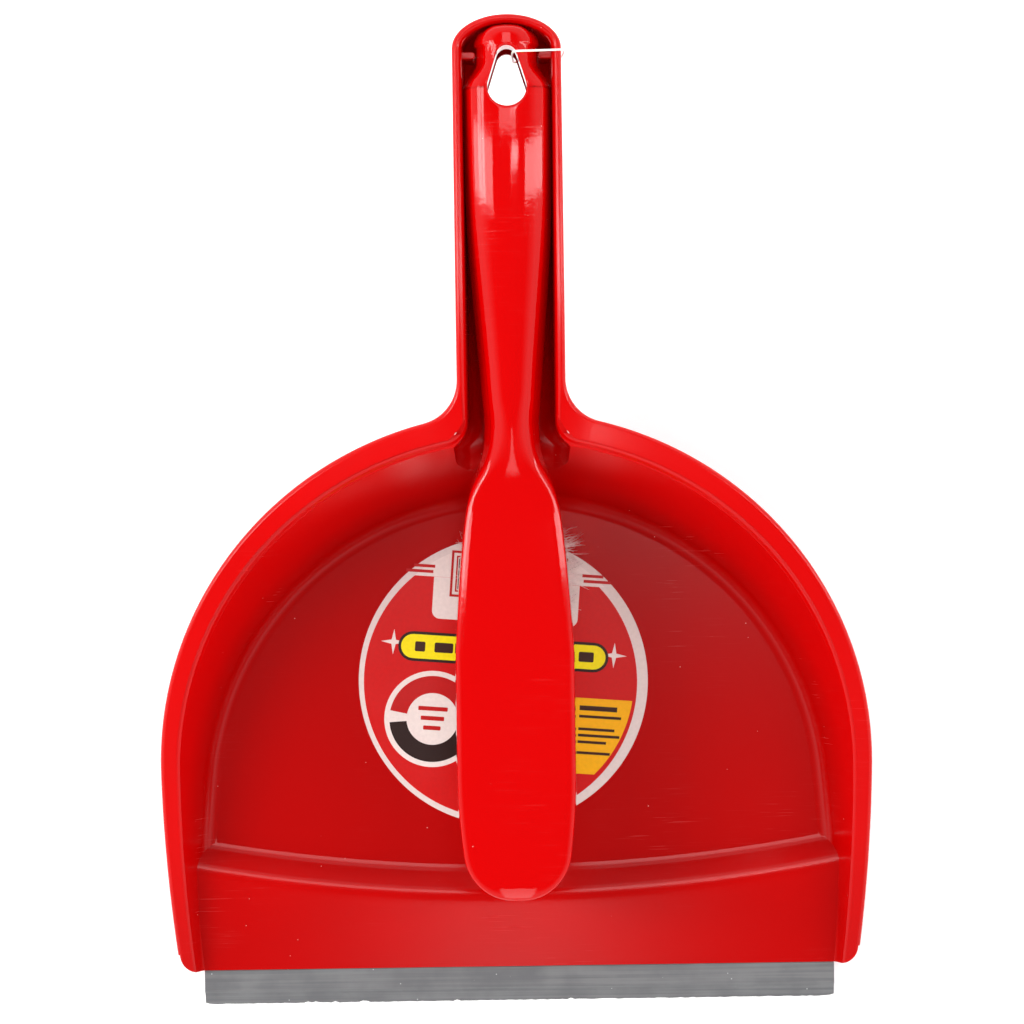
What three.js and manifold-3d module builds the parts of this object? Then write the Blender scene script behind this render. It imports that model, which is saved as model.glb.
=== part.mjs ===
// Dust pan and hand brush set, in millimetres, +Z up.
// The pan lies flat with its rubber lip at -Y and its handle at +Y, and the brush is nested in it.
// The origin is the middle of the footprint, on the surface that the pan lies on.
// Places along the pan are given as a distance from the front edge of the lip.

import * as THREE from 'three';
import { mergeVertices } from 'three/addons/utils/BufferGeometryUtils.js';
import Module from 'manifold-3d';

const wasm = await Module();
wasm.setup();

// Overall sizes
const overallLength = 320;
const overallWidth = 232;

// Pan bowl
const wall = 2.2;
const floorThickness = 2;
const bowlLength = 194.5;
const lipReach = 12;
const frontTaper = 4;
const frontCornerRadius = 6;
const frontRimHeight = 9;
const backRimHeight = 56;
const frontRimWidth = 5;
const backRimWidth = 8;
const wallSlope = 0.34;
const floorFillet = 6;
const skirtDepth = 5;
const skirtThickness = 1.6;

// Ramp and its crest, just behind the lip
const rampEdgeHeight = 3.1;
const crestHeight = 8;
const crestFromLip = 37;
const crestSweep = 11;
const stepLength = 7.5;
const tongueThickness = 1;
const tongueReach = 6;
const crestRound = 2;
const crestFlat = 5;
const crestDip = 0.5;

// Rubber lip
const lipTipHeight = 0.7;
const lipShoulderDrop = 0.2;
const lipWidth = 209;
const lipClearance = 0.3;

// Pan handle, an open trough
const handleWidth = 34.6;
const handleStrip = 2.9;
const handleEndHeight = 62;
const handleEndRadius = 12;
const neckFillet = 14;
const troughFillet = 8;
const troughFloorHeight = 38;
const troughRise = 0.03;
const troughSlope = 0.04;
const troughCorner = 5;
const mouthRadius = 8;
const mouthThickening = 3;

// How far a cutting solid reaches past what it cuts
const cutReach = 12;

// Brush
const headWidth = 38.8;
const headTipFromLip = 38;
const headTipLength = 37;
const headTopHeight = 50;
const headThickness = 14;
const headEdgeDraft = 1.5;
const neckWidth = 17.4;
const brushHandleTop = 66;
const brushHandleDepth = 11;
const brushWall = 2.4;
const brushSideClearance = 0.6;
const brushEndClearance = 0.7;
const headTaper = 65.5;
const neckLead = 11;
const undersideLead = 16.2;
const undersideRise = 26;
const sideTaper = 29;
const gripStartReach = 10;
const gripEndReach = 13;
const gripFlat = 4;
const pocketCount = 4;
const pocketRib = 2.4;

// Snap lugs in the trough and the waist that they hold
const lugThickness = 2.4;
const lugClearance = 0.35;
const waistInset = 4.3;
const waistLength = 4.3;
const capLength = 6.8;
const capFlange = 0.8;
const lugHeight = 57;

// Hanging hole through both handles
const holeRadius = 6.2;
const holeTopRadius = 3.3;
const holeLength = 19;
const holeFromEnd = 10.4;

// Bristle tufts
const tuftRowCount = 5;
const tuftsPerRow = 10;
const tuftRowSpacing = 6.5;
const tuftRadius = 2;
const tuftHoleClearance = 0.3;
const tuftHoleDepth = 6;
const tuftSpread = 1.28;
const tuftTipClearance = 0.7;
const tuftGap = 0.5;
const firstTuftFromTip = 15;
const lastTuftFromNeck = 31;

// Round sticker on the floor of the pan
const stickerMargin = 11.15;
const stickerThickness = 0.2;
const stickerShift = 1.8;
const stickerOffset = -4;
const stickerClearance = 0.05;

// Nylon tie that holds the two handles together
const tieDiameter = 0.7;
const tieClearance = 0.5;
const tieLock = { length: 4.2, width: 3, height: 2 };

// Places that follow from the sizes above
const halfWidth = overallWidth / 2;
const arcCentre = bowlLength - halfWidth;
const handleHalf = handleWidth / 2;
const troughHalf = handleHalf - handleStrip;
const brushHandleHalf = troughHalf - brushSideClearance;
const brushEnd = overallLength - handleStrip - brushEndClearance;
const waistWidth = 2 * (brushHandleHalf - waistInset);
const waistEnd = brushEnd - capLength;
const waistStart = waistEnd - waistLength;
const lugFromLip = (waistStart + waistEnd) / 2;
const holeTop = overallLength - holeFromEnd;
const holeCentre = holeTop - holeLength + holeRadius;
const headBottom = headTopHeight - headThickness;
const stickerTop = floorThickness + stickerClearance + stickerThickness;

// Where the floor begins behind the ramp and ends at the foot of the back wall
const floorStart = crestFromLip + stepLength + 1;
const backFoot = bowlLength - backRimWidth - (backRimHeight - floorThickness) * wallSlope;
const floorEnd = backFoot - floorFillet * Math.tan(Math.PI / 4 - Math.atan(wallSlope) / 2);
const stickerFromLip = (floorStart + floorEnd) / 2 + stickerShift;
const stickerRadius = (floorEnd - floorStart) / 2 - stickerMargin;

const along = (fromLip) => fromLip - overallLength / 2;

const lerp = THREE.MathUtils.lerp;

const smooth = (x, from, to) => THREE.MathUtils.smoothstep(x, from, to);

// Solids and geometry

function solidOf(geometry) {
  const bare = geometry.clone();
  bare.deleteAttribute('normal');
  bare.deleteAttribute('uv');
  const merged = mergeVertices(bare, 1e-4);
  return new wasm.Manifold(new wasm.Mesh({
    numProp: 3,
    vertProperties: new Float32Array(merged.attributes.position.array),
    triVerts: new Uint32Array(merged.index.array),
  }));
}

function geometryOf(solid) {
  const mesh = solid.getMesh();
  const geometry = new THREE.BufferGeometry();
  geometry.setAttribute('position', new THREE.BufferAttribute(new Float32Array(mesh.vertProperties), 3));
  geometry.setIndex(new THREE.BufferAttribute(new Uint32Array(mesh.triVerts), 1));
  geometry.computeVertexNormals();
  return geometry;
}

function joined(solids) {
  return solids.reduce((whole, solid) => whole.add(solid));
}

// Triangles that fill an outline, turning the way the outline does.
function capFaces(outline) {
  const contour = outline.map((p) => new THREE.Vector2(...p));
  const faces = THREE.ShapeUtils.triangulateShape(contour, []);
  const firstFace = faces[0].map((i) => contour[i]);
  const sameWay = THREE.ShapeUtils.area(contour) * THREE.ShapeUtils.area(firstFace) > 0;
  return sameWay ? faces : faces.map(([a, b, c]) => [c, b, a]);
}

// A closed skin over rings of equal length, each ring a list of [x, y, z].
// flat(point) gives the two coordinates that the end caps are filled in.
function loft(rings, flat) {
  const count = rings[0].length;
  const positions = rings.flat(2);
  const index = [];
  for (let ring = 0; ring < rings.length - 1; ring++) {
    for (let i = 0; i < count; i++) {
      const a = ring * count + i;
      const b = ring * count + (i + 1) % count;
      index.push(a, b, a + count, b, b + count, a + count);
    }
  }
  const last = (rings.length - 1) * count;
  for (const [a, b, c] of capFaces(rings[0].map(flat))) {
    index.push(c, b, a);
  }
  for (const [a, b, c] of capFaces(rings[rings.length - 1].map(flat))) {
    index.push(last + a, last + b, last + c);
  }
  const geometry = new THREE.BufferGeometry();
  geometry.setAttribute('position', new THREE.BufferAttribute(new Float32Array(positions), 3));
  geometry.setIndex(index);
  return outward(geometry);
}

// Turns the faces of a closed skin so that they point out.
function outward(geometry) {
  const p = geometry.attributes.position;
  const index = geometry.index.array;
  let volume = 0;
  const [a, b, c] = [new THREE.Vector3(), new THREE.Vector3(), new THREE.Vector3()];
  for (let i = 0; i < index.length; i += 3) {
    a.fromBufferAttribute(p, index[i]);
    b.fromBufferAttribute(p, index[i + 1]);
    c.fromBufferAttribute(p, index[i + 2]);
    volume += a.dot(b.cross(c));
  }
  if (volume < 0) {
    for (let i = 0; i < index.length; i += 3) {
      [index[i], index[i + 1]] = [index[i + 1], index[i]];
    }
  }
  return geometry;
}

const inPlan = ([x, y]) => [x, y];
const inSection = ([x, , z]) => [x, z];

// Pan: heights and outline

function rimHeight(fromLip) {
  const slope = (backRimHeight - frontRimHeight) / (bowlLength - lipReach);
  if (fromLip <= bowlLength) {
    return frontRimHeight + slope * (fromLip - lipReach);
  }
  const rise = handleEndHeight - backRimHeight;
  return backRimHeight + rise * (1 - Math.exp(-(fromLip - bowlLength) * slope / rise));
}

function rimWidth(fromLip) {
  return lerp(frontRimWidth, backRimWidth, (fromLip - lipReach) / (bowlLength - lipReach));
}

// A point on the outline, with the direction that points into the pan.
function outlinePoint(x, fromLip, inX, inY, width) {
  return { x, fromLip, inX, inY, width };
}

function sidePoints(steps) {
  const points = [];
  for (let i = 0; i < steps; i++) {
    const fromLip = lerp(lipReach, arcCentre, i / steps);
    const drawn = frontTaper * ((arcCentre - fromLip) / (arcCentre - lipReach)) ** 2;
    points.push(outlinePoint(halfWidth - drawn, fromLip, -1, 0, rimWidth(fromLip)));
  }
  return points;
}

function arcPoints(endAngle, steps) {
  const points = [];
  for (let i = 0; i <= steps; i++) {
    const angle = endAngle * i / steps;
    const [cos, sin] = [Math.cos(angle), Math.sin(angle)];
    const fromLip = arcCentre + halfWidth * sin;
    points.push(outlinePoint(halfWidth * cos, fromLip, -cos, -sin, rimWidth(fromLip)));
  }
  return points;
}

function mirrored(points) {
  const left = points.map((p) => outlinePoint(-p.x, p.fromLip, -p.inX, p.inY, p.width)).reverse();
  const onAxis = Math.abs(points[points.length - 1].x) < 1e-6;
  return [...points, ...(onAxis ? left.slice(1) : left)];
}

// The bowl alone: both sides and the round back.
function bowlOutline() {
  return mirrored([...sidePoints(5), ...arcPoints(Math.PI / 2, 22)]);
}

// The whole rim: sides, back, the fillets at the neck and the round end of the handle.
function rimOutline() {
  const filletX = handleHalf + neckFillet;
  const filletY = arcCentre + Math.sqrt((halfWidth + neckFillet) ** 2 - filletX ** 2);
  const meet = Math.atan2(filletY - arcCentre, filletX);
  const points = [...sidePoints(5), ...arcPoints(meet, 20)];
  const filletSteps = 7;
  for (let i = 1; i <= filletSteps; i++) {
    const t = i / filletSteps;
    const angle = lerp(meet + Math.PI, Math.PI, t);
    const [cos, sin] = [Math.cos(angle), Math.sin(angle)];
    const width = lerp(rimWidth(bowlLength), handleStrip, t);
    points.push(outlinePoint(filletX + neckFillet * cos, filletY + neckFillet * sin, cos, sin, width));
  }
  const straightSteps = 4;
  const endCentre = overallLength - handleEndRadius;
  for (let i = 1; i < straightSteps; i++) {
    const fromLip = lerp(filletY, endCentre, (i / straightSteps) ** 2);
    points.push(outlinePoint(handleHalf, fromLip, -1, 0, handleStrip));
  }
  const endSteps = 7;
  for (let i = 0; i <= endSteps; i++) {
    const angle = Math.PI / 2 * i / endSteps;
    const [cos, sin] = [Math.cos(angle), Math.sin(angle)];
    const x = handleHalf - handleEndRadius + handleEndRadius * cos;
    points.push(outlinePoint(x, endCentre + handleEndRadius * sin, -cos, -sin, handleStrip));
  }
  return mirrored(points);
}

function atInset(point, inset, z) {
  return [point.x + point.inX * inset, along(point.fromLip + point.inY * inset), z];
}

// The wall's face and the fillet at its foot, as insets and heights from the foot up.
// lean is the wall's angle from upright.
function wallProfile(topInset, topZ, floorZ, radius, steps) {
  const lean = Math.atan(wallSlope);
  const foot = topInset + (topZ - floorZ) * wallSlope;
  const limited = Math.min(radius, (topZ - floorZ) * 0.6);
  const tangent = limited * Math.tan(Math.PI / 4 - lean / 2);
  const profile = [];
  for (let i = 0; i <= steps; i++) {
    const angle = lerp(1.5 * Math.PI, Math.PI + lean, i / steps);
    profile.push([
      foot + tangent + limited * Math.cos(angle),
      floorZ + limited + limited * Math.sin(angle),
    ]);
  }
  profile.push([topInset, topZ]);
  return profile;
}

// Lays a wall profile round the outline and closes it into a solid.
function bowlSolid(outline, profileAt) {
  const profiles = outline.map(profileAt);
  const rings = profiles[0].map((_, level) => (
    outline.map((point, i) => atInset(point, ...profiles[i][level]))
  ));
  return solidOf(loft(rings, inPlan));
}

// The rim round the pan and its handle: a flat flange with a skirt turned down at its outer edge.
function rimFlange() {
  const sink = 1.2;
  const rings = rimOutline().map((point) => {
    const top = rimHeight(point.fromLip);
    const reach = point.width + sink;
    return [
      atInset(point, 0, top),
      atInset(point, reach, top),
      atInset(point, reach, top - wall),
      atInset(point, skirtThickness, top - wall),
      atInset(point, skirtThickness, top - skirtDepth),
      atInset(point, 0, top - skirtDepth),
    ];
  });
  return solidOf(loft(rings, inSection));
}

// One cross-section of the trough, a flat-topped U with round lower corners.
function troughSection(fromLip, halfTop, topZ, bottomZ, corner) {
  const halfBottom = halfTop - (topZ - bottomZ) * troughSlope;
  const radius = Math.min(corner, halfBottom * 0.9);
  const steps = 5;
  const right = [];
  for (let i = 0; i <= steps; i++) {
    const angle = -Math.PI / 2 * i / steps;
    right.push([
      halfBottom - radius + radius * Math.cos(angle),
      bottomZ + radius + radius * Math.sin(angle),
    ]);
  }
  const half = [[halfTop, topZ], ...right];
  const ring = [...half, ...half.map(([x, z]) => [-x, z]).reverse()];
  return ring.map(([x, z]) => [x, along(fromLip), z]);
}

function troughFloor(fromLip) {
  return troughFloorHeight + troughRise * (fromLip - bowlLength);
}

// How far the trough's floor has rounded down towards the bowl.
function mouthDrop(fromLip) {
  const mouth = bowlLength - backRimWidth;
  const over = THREE.MathUtils.clamp(mouth - fromLip, 0, mouthRadius * 0.9);
  return mouthRadius - Math.sqrt(mouthRadius ** 2 - over ** 2);
}

// Half the width at the top of the trough, flaring into the bowl by a fillet.
// The trough's inner and outer faces flare about the same centre.
function troughHalfAt(fromLip, straightHalf) {
  const centreX = troughHalf + troughFillet;
  const inner = halfWidth - backRimWidth;
  const centreY = arcCentre + Math.sqrt((inner + troughFillet) ** 2 - centreX ** 2);
  const radius = centreX - straightHalf;
  const over = THREE.MathUtils.clamp(centreY - fromLip, 0, radius * 0.9);
  return centreX - Math.sqrt(radius ** 2 - over ** 2);
}

// Half of the rounded end's width, for a round corner that reaches to the given end.
function endHalfAt(fromLip, half, radius, end) {
  const over = THREE.MathUtils.clamp(fromLip - (end - radius), 0, radius);
  return half - radius + Math.sqrt(radius ** 2 - over ** 2);
}

function endStations(radius, end, steps) {
  const stations = [];
  for (let i = 0; i <= steps; i++) {
    stations.push(end - radius + radius * Math.sin(Math.PI / 2 * i / steps));
  }
  return stations;
}

function neckStations(from, to, step) {
  const stations = [];
  for (let fromLip = from; fromLip < to; fromLip += step) {
    stations.push(fromLip);
  }
  return stations;
}

const troughStart = bowlLength - backRimWidth - mouthRadius * 0.9;
const neckEnd = bowlLength + neckFillet;

function handleOuter() {
  const skirtInset = 0.5;
  const half = handleHalf - skirtInset;
  const end = overallLength - skirtInset;
  const radius = handleEndRadius - skirtInset;
  const middle = [neckEnd, lerp(neckEnd, end - radius, 0.25), lerp(neckEnd, end - radius, 0.6)];
  const neck = neckStations(troughStart, neckEnd, 2);
  const stations = [...neck, ...middle, ...endStations(radius, end, 6)];
  return solidOf(loft(stations.map((fromLip) => {
    const bottom = troughFloor(fromLip) - wall - mouthDrop(fromLip - mouthThickening);
    const flare = troughHalfAt(fromLip, half) - half;
    const width = endHalfAt(fromLip, half, radius, end) + flare;
    return troughSection(fromLip, width, rimHeight(fromLip) - wall / 2, bottom, troughCorner + wall);
  }), inSection));
}

function troughCavity() {
  const end = overallLength - handleStrip;
  const radius = handleEndRadius - handleStrip;
  const middle = [neckEnd, lerp(neckEnd, end - radius, 0.25), lerp(neckEnd, end - radius, 0.6)];
  const neck = neckStations(troughStart - 2, neckEnd, 1.5);
  const stations = [...neck, ...middle, ...endStations(radius, end, 6)];
  return solidOf(loft(stations.map((fromLip) => {
    const top = rimHeight(fromLip) + cutReach;
    const bottom = troughFloor(fromLip) - mouthDrop(fromLip);
    const flare = troughHalfAt(fromLip, troughHalf) - troughHalf;
    const width = endHalfAt(fromLip, troughHalf, radius, end) + flare + cutReach * troughSlope;
    return troughSection(fromLip, width, top, bottom, troughCorner);
  }), inSection));
}

// A pear-shaped plug that cuts the hanging hole, round below and narrow at the top.
function hangingHole(radiusGrowth, bottomZ, topZ) {
  const low = holeRadius + radiusGrowth;
  const high = holeTopRadius + radiusGrowth;
  const lowY = along(holeCentre);
  const highY = along(holeTop - holeTopRadius);
  const lean = Math.asin((low - high) / (highY - lowY));
  const shape = new THREE.Shape();
  shape.absarc(0, lowY, low, Math.PI - lean, 2 * Math.PI + lean, false);
  shape.absarc(0, highY, high, lean, Math.PI - lean, false);
  const depth = topZ - bottomZ;
  const geometry = new THREE.ExtrudeGeometry(shape, { depth, bevelEnabled: false, curveSegments: 12 });
  geometry.translate(0, 0, bottomZ);
  return solidOf(geometry);
}

// Where the crest of the ramp lies, curving back towards the sides.
function crestAt(x) {
  return crestFromLip + crestSweep * (x / (halfWidth - frontTaper)) ** 2;
}

// The ramp behind the lip: up to the crest, over it, and down a step to the floor.
function ramp(lowered, front, back, bottomZ) {
  const columns = 17;
  const reach = halfWidth;
  const profileAt = (x) => {
    const crest = crestAt(x);
    const flat = crest - crestFlat;
    return [
      [front, lerp(rampEdgeHeight, crestHeight - crestDip, (front - lipReach) / (flat - lipReach)) - lowered],
      [flat, crestHeight - crestDip - lowered],
      [crest - crestRound, crestHeight - lowered],
      [crest, crestHeight - 0.1 - lowered],
      [crest + 1.5, crestHeight - 0.9 - lowered],
      [crest + stepLength - 1.5 + back, floorThickness + 0.9 - lowered],
      [crest + stepLength + back, floorThickness + 0.1 - lowered],
      [crest + stepLength + 1 + back, Math.max(floorThickness - 0.8 - lowered, bottomZ + 0.1)],
      [crest + stepLength + 1 + back, bottomZ],
      [front, bottomZ],
    ];
  };
  const rings = [];
  for (let i = 0; i < columns; i++) {
    const x = lerp(-reach, reach, i / (columns - 1));
    rings.push(profileAt(x).map(([fromLip, z]) => [x, along(fromLip), z]));
  }
  return solidOf(loft(rings, ([, y, z]) => [y, z]));
}

function plate(width, fromLip, toLip, bottomZ, topZ) {
  const geometry = new THREE.BoxGeometry(width, toLip - fromLip, topZ - bottomZ);
  geometry.translate(0, along((fromLip + toLip) / 2), (bottomZ + topZ) / 2);
  return solidOf(geometry);
}

// The sharp part outside a round front corner.
function cornerCut(side) {
  const x = halfWidth - frontTaper;
  const shape = new THREE.Shape();
  const [centreX, centreY] = [x - frontCornerRadius, lipReach + frontCornerRadius];
  shape.moveTo(centreX, lipReach - 1);
  shape.lineTo(x + 2, lipReach - 1);
  shape.lineTo(x + 2, centreY);
  shape.absarc(centreX, centreY, frontCornerRadius, 0, -Math.PI / 2, true);
  const height = frontRimHeight * 2;
  const geometry = new THREE.ExtrudeGeometry(shape, { depth: height, bevelEnabled: false, curveSegments: 6 });
  geometry.translate(0, along(0), -1);
  const solid = solidOf(geometry);
  return side > 0 ? solid : solid.mirror([1, 0, 0]);
}

// A snap lug on the trough's side wall, with a round nose.
function lug(side) {
  const nose = waistWidth / 2 + lugClearance;
  const shape = new THREE.Shape();
  const half = lugThickness / 2;
  shape.moveTo(troughHalf + handleStrip / 2, -half);
  shape.lineTo(troughHalf + handleStrip / 2, half);
  shape.lineTo(nose + half, half);
  shape.absarc(nose + half, 0, half, Math.PI / 2, 1.5 * Math.PI, false);
  const bottom = troughFloor(lugFromLip) - wall / 2;
  const depth = lugHeight - bottom;
  const geometry = new THREE.ExtrudeGeometry(shape, { depth, bevelEnabled: false, curveSegments: 4 });
  geometry.translate(0, along(lugFromLip), bottom);
  const solid = solidOf(geometry);
  return side > 0 ? solid : solid.mirror([1, 0, 0]);
}

function panSolid() {
  const outline = bowlOutline();
  const thicknessAcross = wall / Math.cos(Math.atan(wallSlope));
  const outer = bowlSolid(outline, (point) => wallProfile(
    point.width - thicknessAcross,
    rimHeight(point.fromLip) - wall / 2,
    0,
    floorFillet + wall,
    3,
  ));
  const openFront = [
    outlinePoint(outline[0].x, -lipReach, -1, 0, outline[0].width),
    ...outline,
    outlinePoint(-outline[0].x, -lipReach, 1, 0, outline[0].width),
  ];
  const cavity = bowlSolid(openFront, (point) => {
    const rim = rimHeight(Math.max(point.fromLip, lipReach));
    const profile = wallProfile(point.width, rim, floorThickness, floorFillet, 5);
    return [...profile, [point.width, rim + cutReach]];
  });
  const handle = handleOuter();
  const lugs = lug(1).add(lug(-1)).intersect(handle);
  const shell = joined([outer, handle, rimFlange()]).subtract(cavity).subtract(troughCavity());
  const wedge = ramp(0, lipReach, 0, 0).intersect(outer);
  const hollowFront = lipReach + wall;
  const hollowInset = 2 * (frontRimWidth + frontTaper + wall + frontRimHeight * wallSlope);
  const hollow = ramp(wall, hollowFront, -wall, -1)
    .intersect(plate(overallWidth - hollowInset, 0, bowlLength, -2, crestHeight));
  const tongueMiddle = rampEdgeHeight / 2;
  const tongue = plate(
    lipWidth - 4 * lipClearance,
    lipReach - tongueReach,
    lipReach + 1,
    tongueMiddle - tongueThickness / 2,
    tongueMiddle + tongueThickness / 2,
  );
  return joined([shell, wedge, lugs])
    .subtract(hollow)
    .subtract(cornerCut(1))
    .subtract(cornerCut(-1))
    .add(tongue)
    .subtract(hangingHole(0, troughFloorHeight - 3 * wall, handleEndHeight));
}

// The rubber lip: a wedge with a groove that takes the pan's tongue.
function lipGeometry() {
  const back = lipReach - lipClearance;
  const middle = rampEdgeHeight / 2;
  const grooveHalf = tongueThickness / 2 + lipClearance;
  const grooveEnd = lipReach - tongueReach - lipClearance;
  const shape = new THREE.Shape();
  shape.moveTo(0.4, 0);
  shape.lineTo(back, 0);
  shape.lineTo(back, middle - grooveHalf);
  shape.lineTo(grooveEnd, middle - grooveHalf);
  shape.lineTo(grooveEnd, middle + grooveHalf);
  shape.lineTo(back, middle + grooveHalf);
  shape.lineTo(back, rampEdgeHeight);
  shape.lineTo(grooveEnd - 1, rampEdgeHeight - lipShoulderDrop);
  shape.lineTo(0.4, lipTipHeight);
  shape.lineTo(0, lipTipHeight / 2);
  const geometry = new THREE.ExtrudeGeometry(shape, { depth: lipWidth, bevelEnabled: false });
  geometry.rotateY(Math.PI / 2);
  geometry.rotateX(Math.PI / 2);
  geometry.translate(-lipWidth / 2, along(0), 0);
  return geometry;
}

// Brush: the plan, the heights and the cross-sections

const headHalf = headWidth / 2;
const headTipEnd = headTipFromLip + headTipLength;
const neckStart = bowlLength - neckLead;
const headBack = neckStart - headTaper;

// Where the back wall of the bowl stands at the height of the head's underside
const wallMeetsHead = bowlLength - backRimWidth - (backRimHeight - headBottom) * wallSlope;
const undersideStart = wallMeetsHead - undersideLead;

// Half widths along the head, neck and handle, as [from lip, half width].
function brushPlan() {
  const plan = [];
  const tipSteps = 9;
  for (let i = 0; i < tipSteps; i++) {
    const angle = lerp(0.14, Math.PI / 2, i / tipSteps);
    plan.push([headTipEnd - headTipLength * Math.cos(angle), headHalf * Math.sin(angle)]);
  }
  plan.push([headTipEnd, headHalf], [(headTipEnd + headBack) / 2, headHalf]);
  const neckHalf = neckWidth / 2;
  const gripStart = bowlLength + gripStartReach;
  const gripWidest = waistStart - gripEndReach;
  const side = new THREE.SplineCurve([
    new THREE.Vector2(headBack, headHalf),
    new THREE.Vector2(headBack + sideTaper, headHalf * 0.89),
    new THREE.Vector2(neckStart - 16, headHalf * 0.75),
    new THREE.Vector2(neckStart - 4, neckHalf * 1.14),
    new THREE.Vector2(neckStart + 6, neckHalf),
    new THREE.Vector2(gripStart, neckHalf * 1.03),
    new THREE.Vector2(lerp(gripStart, gripWidest, 0.55), lerp(neckHalf, brushHandleHalf, 0.82)),
    new THREE.Vector2(gripWidest, brushHandleHalf - 0.05),
    new THREE.Vector2(gripWidest + gripFlat, brushHandleHalf),
  ]);
  const sideSteps = 26;
  for (const point of side.getPoints(sideSteps)) {
    plan.push([point.x, Math.min(point.y, point.x > bowlLength ? brushHandleHalf : headHalf)]);
  }
  const waistHalf = waistWidth / 2;
  const flareSteps = 6;
  for (let i = 1; i <= flareSteps; i++) {
    const t = i / flareSteps;
    const fromLip = lerp(gripWidest + gripFlat, waistStart, t);
    plan.push([fromLip, lerp(brushHandleHalf, waistHalf, smooth(t, 0, 1))]);
  }
  const capHalf = waistHalf + capFlange;
  const capRadius = capLength - capFlange;
  plan.push([waistEnd, waistHalf]);
  const capSteps = 6;
  for (let i = 0; i <= capSteps; i++) {
    const angle = Math.PI / 2 * i / capSteps;
    const [cos, sin] = [Math.cos(angle), Math.sin(angle)];
    plan.push([brushEnd - capRadius + capRadius * sin, capHalf - capRadius + capRadius * cos]);
  }
  return plan;
}

function brushTop(fromLip) {
  const rise = brushHandleTop - headTopHeight;
  const neck = 0.52 * rise * smooth(fromLip, neckStart - 24, neckStart + 18);
  const grip = 0.48 * rise * smooth(fromLip, neckStart - 6, waistStart - 8);
  return headTopHeight + neck + grip;
}

function brushBottom(fromLip) {
  const low = headBottom;
  const high = brushTop(fromLip) - brushHandleDepth;
  return lerp(low, high, smooth(fromLip, undersideStart, undersideStart + undersideRise));
}

// One cross-section: a flat underside, leaning sides and a crowned top.
// Over the neck it turns from the head's boxy shape to the handle's round one.
function brushSection(fromLip, half, shrink, bottomZ) {
  const handleShare = smooth(fromLip, neckStart - 24, neckStart + 10);
  const top = brushTop(fromLip) - shrink;
  const bottom = bottomZ ?? brushBottom(fromLip);
  const shoulder = lerp(headTopHeight - 4, top - 5, handleShare) - shrink * (1 - handleShare);
  const width = half - shrink;
  const lean = Math.min(lerp(headEdgeDraft, 2.4, handleShare), width * 0.3);
  const power = lerp(0.45, 1, handleShare);
  const right = [[width - 0.5, bottom], [width, bottom + 0.8]];
  const steps = 6;
  for (let i = 0; i <= steps; i++) {
    const angle = Math.PI / 2 * i / steps;
    right.push([
      (width - lean) * Math.cos(angle) ** power,
      shoulder + (top - shoulder) * Math.sin(angle) ** power,
    ]);
  }
  right[right.length - 1][0] = 0;
  const left = right.slice(0, -1).map(([x, z]) => [-x, z]).reverse();
  return [...right, ...left].map(([x, z]) => [x, along(fromLip), z]);
}

// Where the tufts stand: even rows and, between them, rows shifted by half a pitch.
function tuftPlaces() {
  const first = headTipFromLip + firstTuftFromTip;
  const last = neckStart - lastTuftFromNeck;
  const pitch = (last - first) / (tuftsPerRow + 0.5);
  const places = [];
  for (let row = 0; row < tuftRowCount; row++) {
    const fromMiddle = row - (tuftRowCount - 1) / 2;
    const outer = Math.abs(fromMiddle) === (tuftRowCount - 1) / 2;
    const shifted = row % 2 === 1;
    const count = outer || shifted ? tuftsPerRow : tuftsPerRow + 1;
    const start = shifted ? 0 : outer ? 0.5 : -0.5;
    for (let i = 0; i < count; i++) {
      places.push({
        row,
        x: fromMiddle * tuftRowSpacing,
        fromLip: first + pitch * (i + 0.5 + start * (outer ? 1.6 : 1)),
        pitch,
      });
    }
  }
  return places;
}

function tuftRing(x, fromLip, z, radiusX, radiusY) {
  const sides = 8;
  const ring = [];
  for (let i = 0; i < sides; i++) {
    const angle = 2 * Math.PI * i / sides;
    ring.push([x + radiusX * Math.cos(angle), along(fromLip) + radiusY * Math.sin(angle), z]);
  }
  return ring;
}

// A tuft: round in its hole, then spreading to a wide oval of bristle tips.
function tuftGeometry({ x, fromLip, pitch }) {
  const tip = stickerTop + tuftTipClearance;
  const top = headBottom + tuftHoleDepth - tuftHoleClearance;
  const spreadX = tuftRowSpacing * tuftSpread / 2 - tuftGap / 2;
  const spreadY = pitch / 2 - tuftGap / 2;
  return loft([
    tuftRing(x, fromLip, top, tuftRadius, tuftRadius),
    tuftRing(x, fromLip, headBottom, tuftRadius, tuftRadius),
    tuftRing(
      lerp(x, x * tuftSpread, 0.4),
      fromLip,
      lerp(headBottom, tip, 0.5),
      lerp(tuftRadius, spreadX, 0.45),
      lerp(tuftRadius, spreadY, 0.45),
    ),
    tuftRing(x * tuftSpread, fromLip, tip, spreadX, spreadY),
  ], inPlan);
}

function tuftHole({ x, fromLip }) {
  const radius = tuftRadius + tuftHoleClearance;
  const bottom = headBottom - 1;
  return solidOf(loft([
    tuftRing(x, fromLip, bottom, radius, radius),
    tuftRing(x, fromLip, headBottom + tuftHoleDepth, radius, radius),
  ], inPlan));
}

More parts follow.
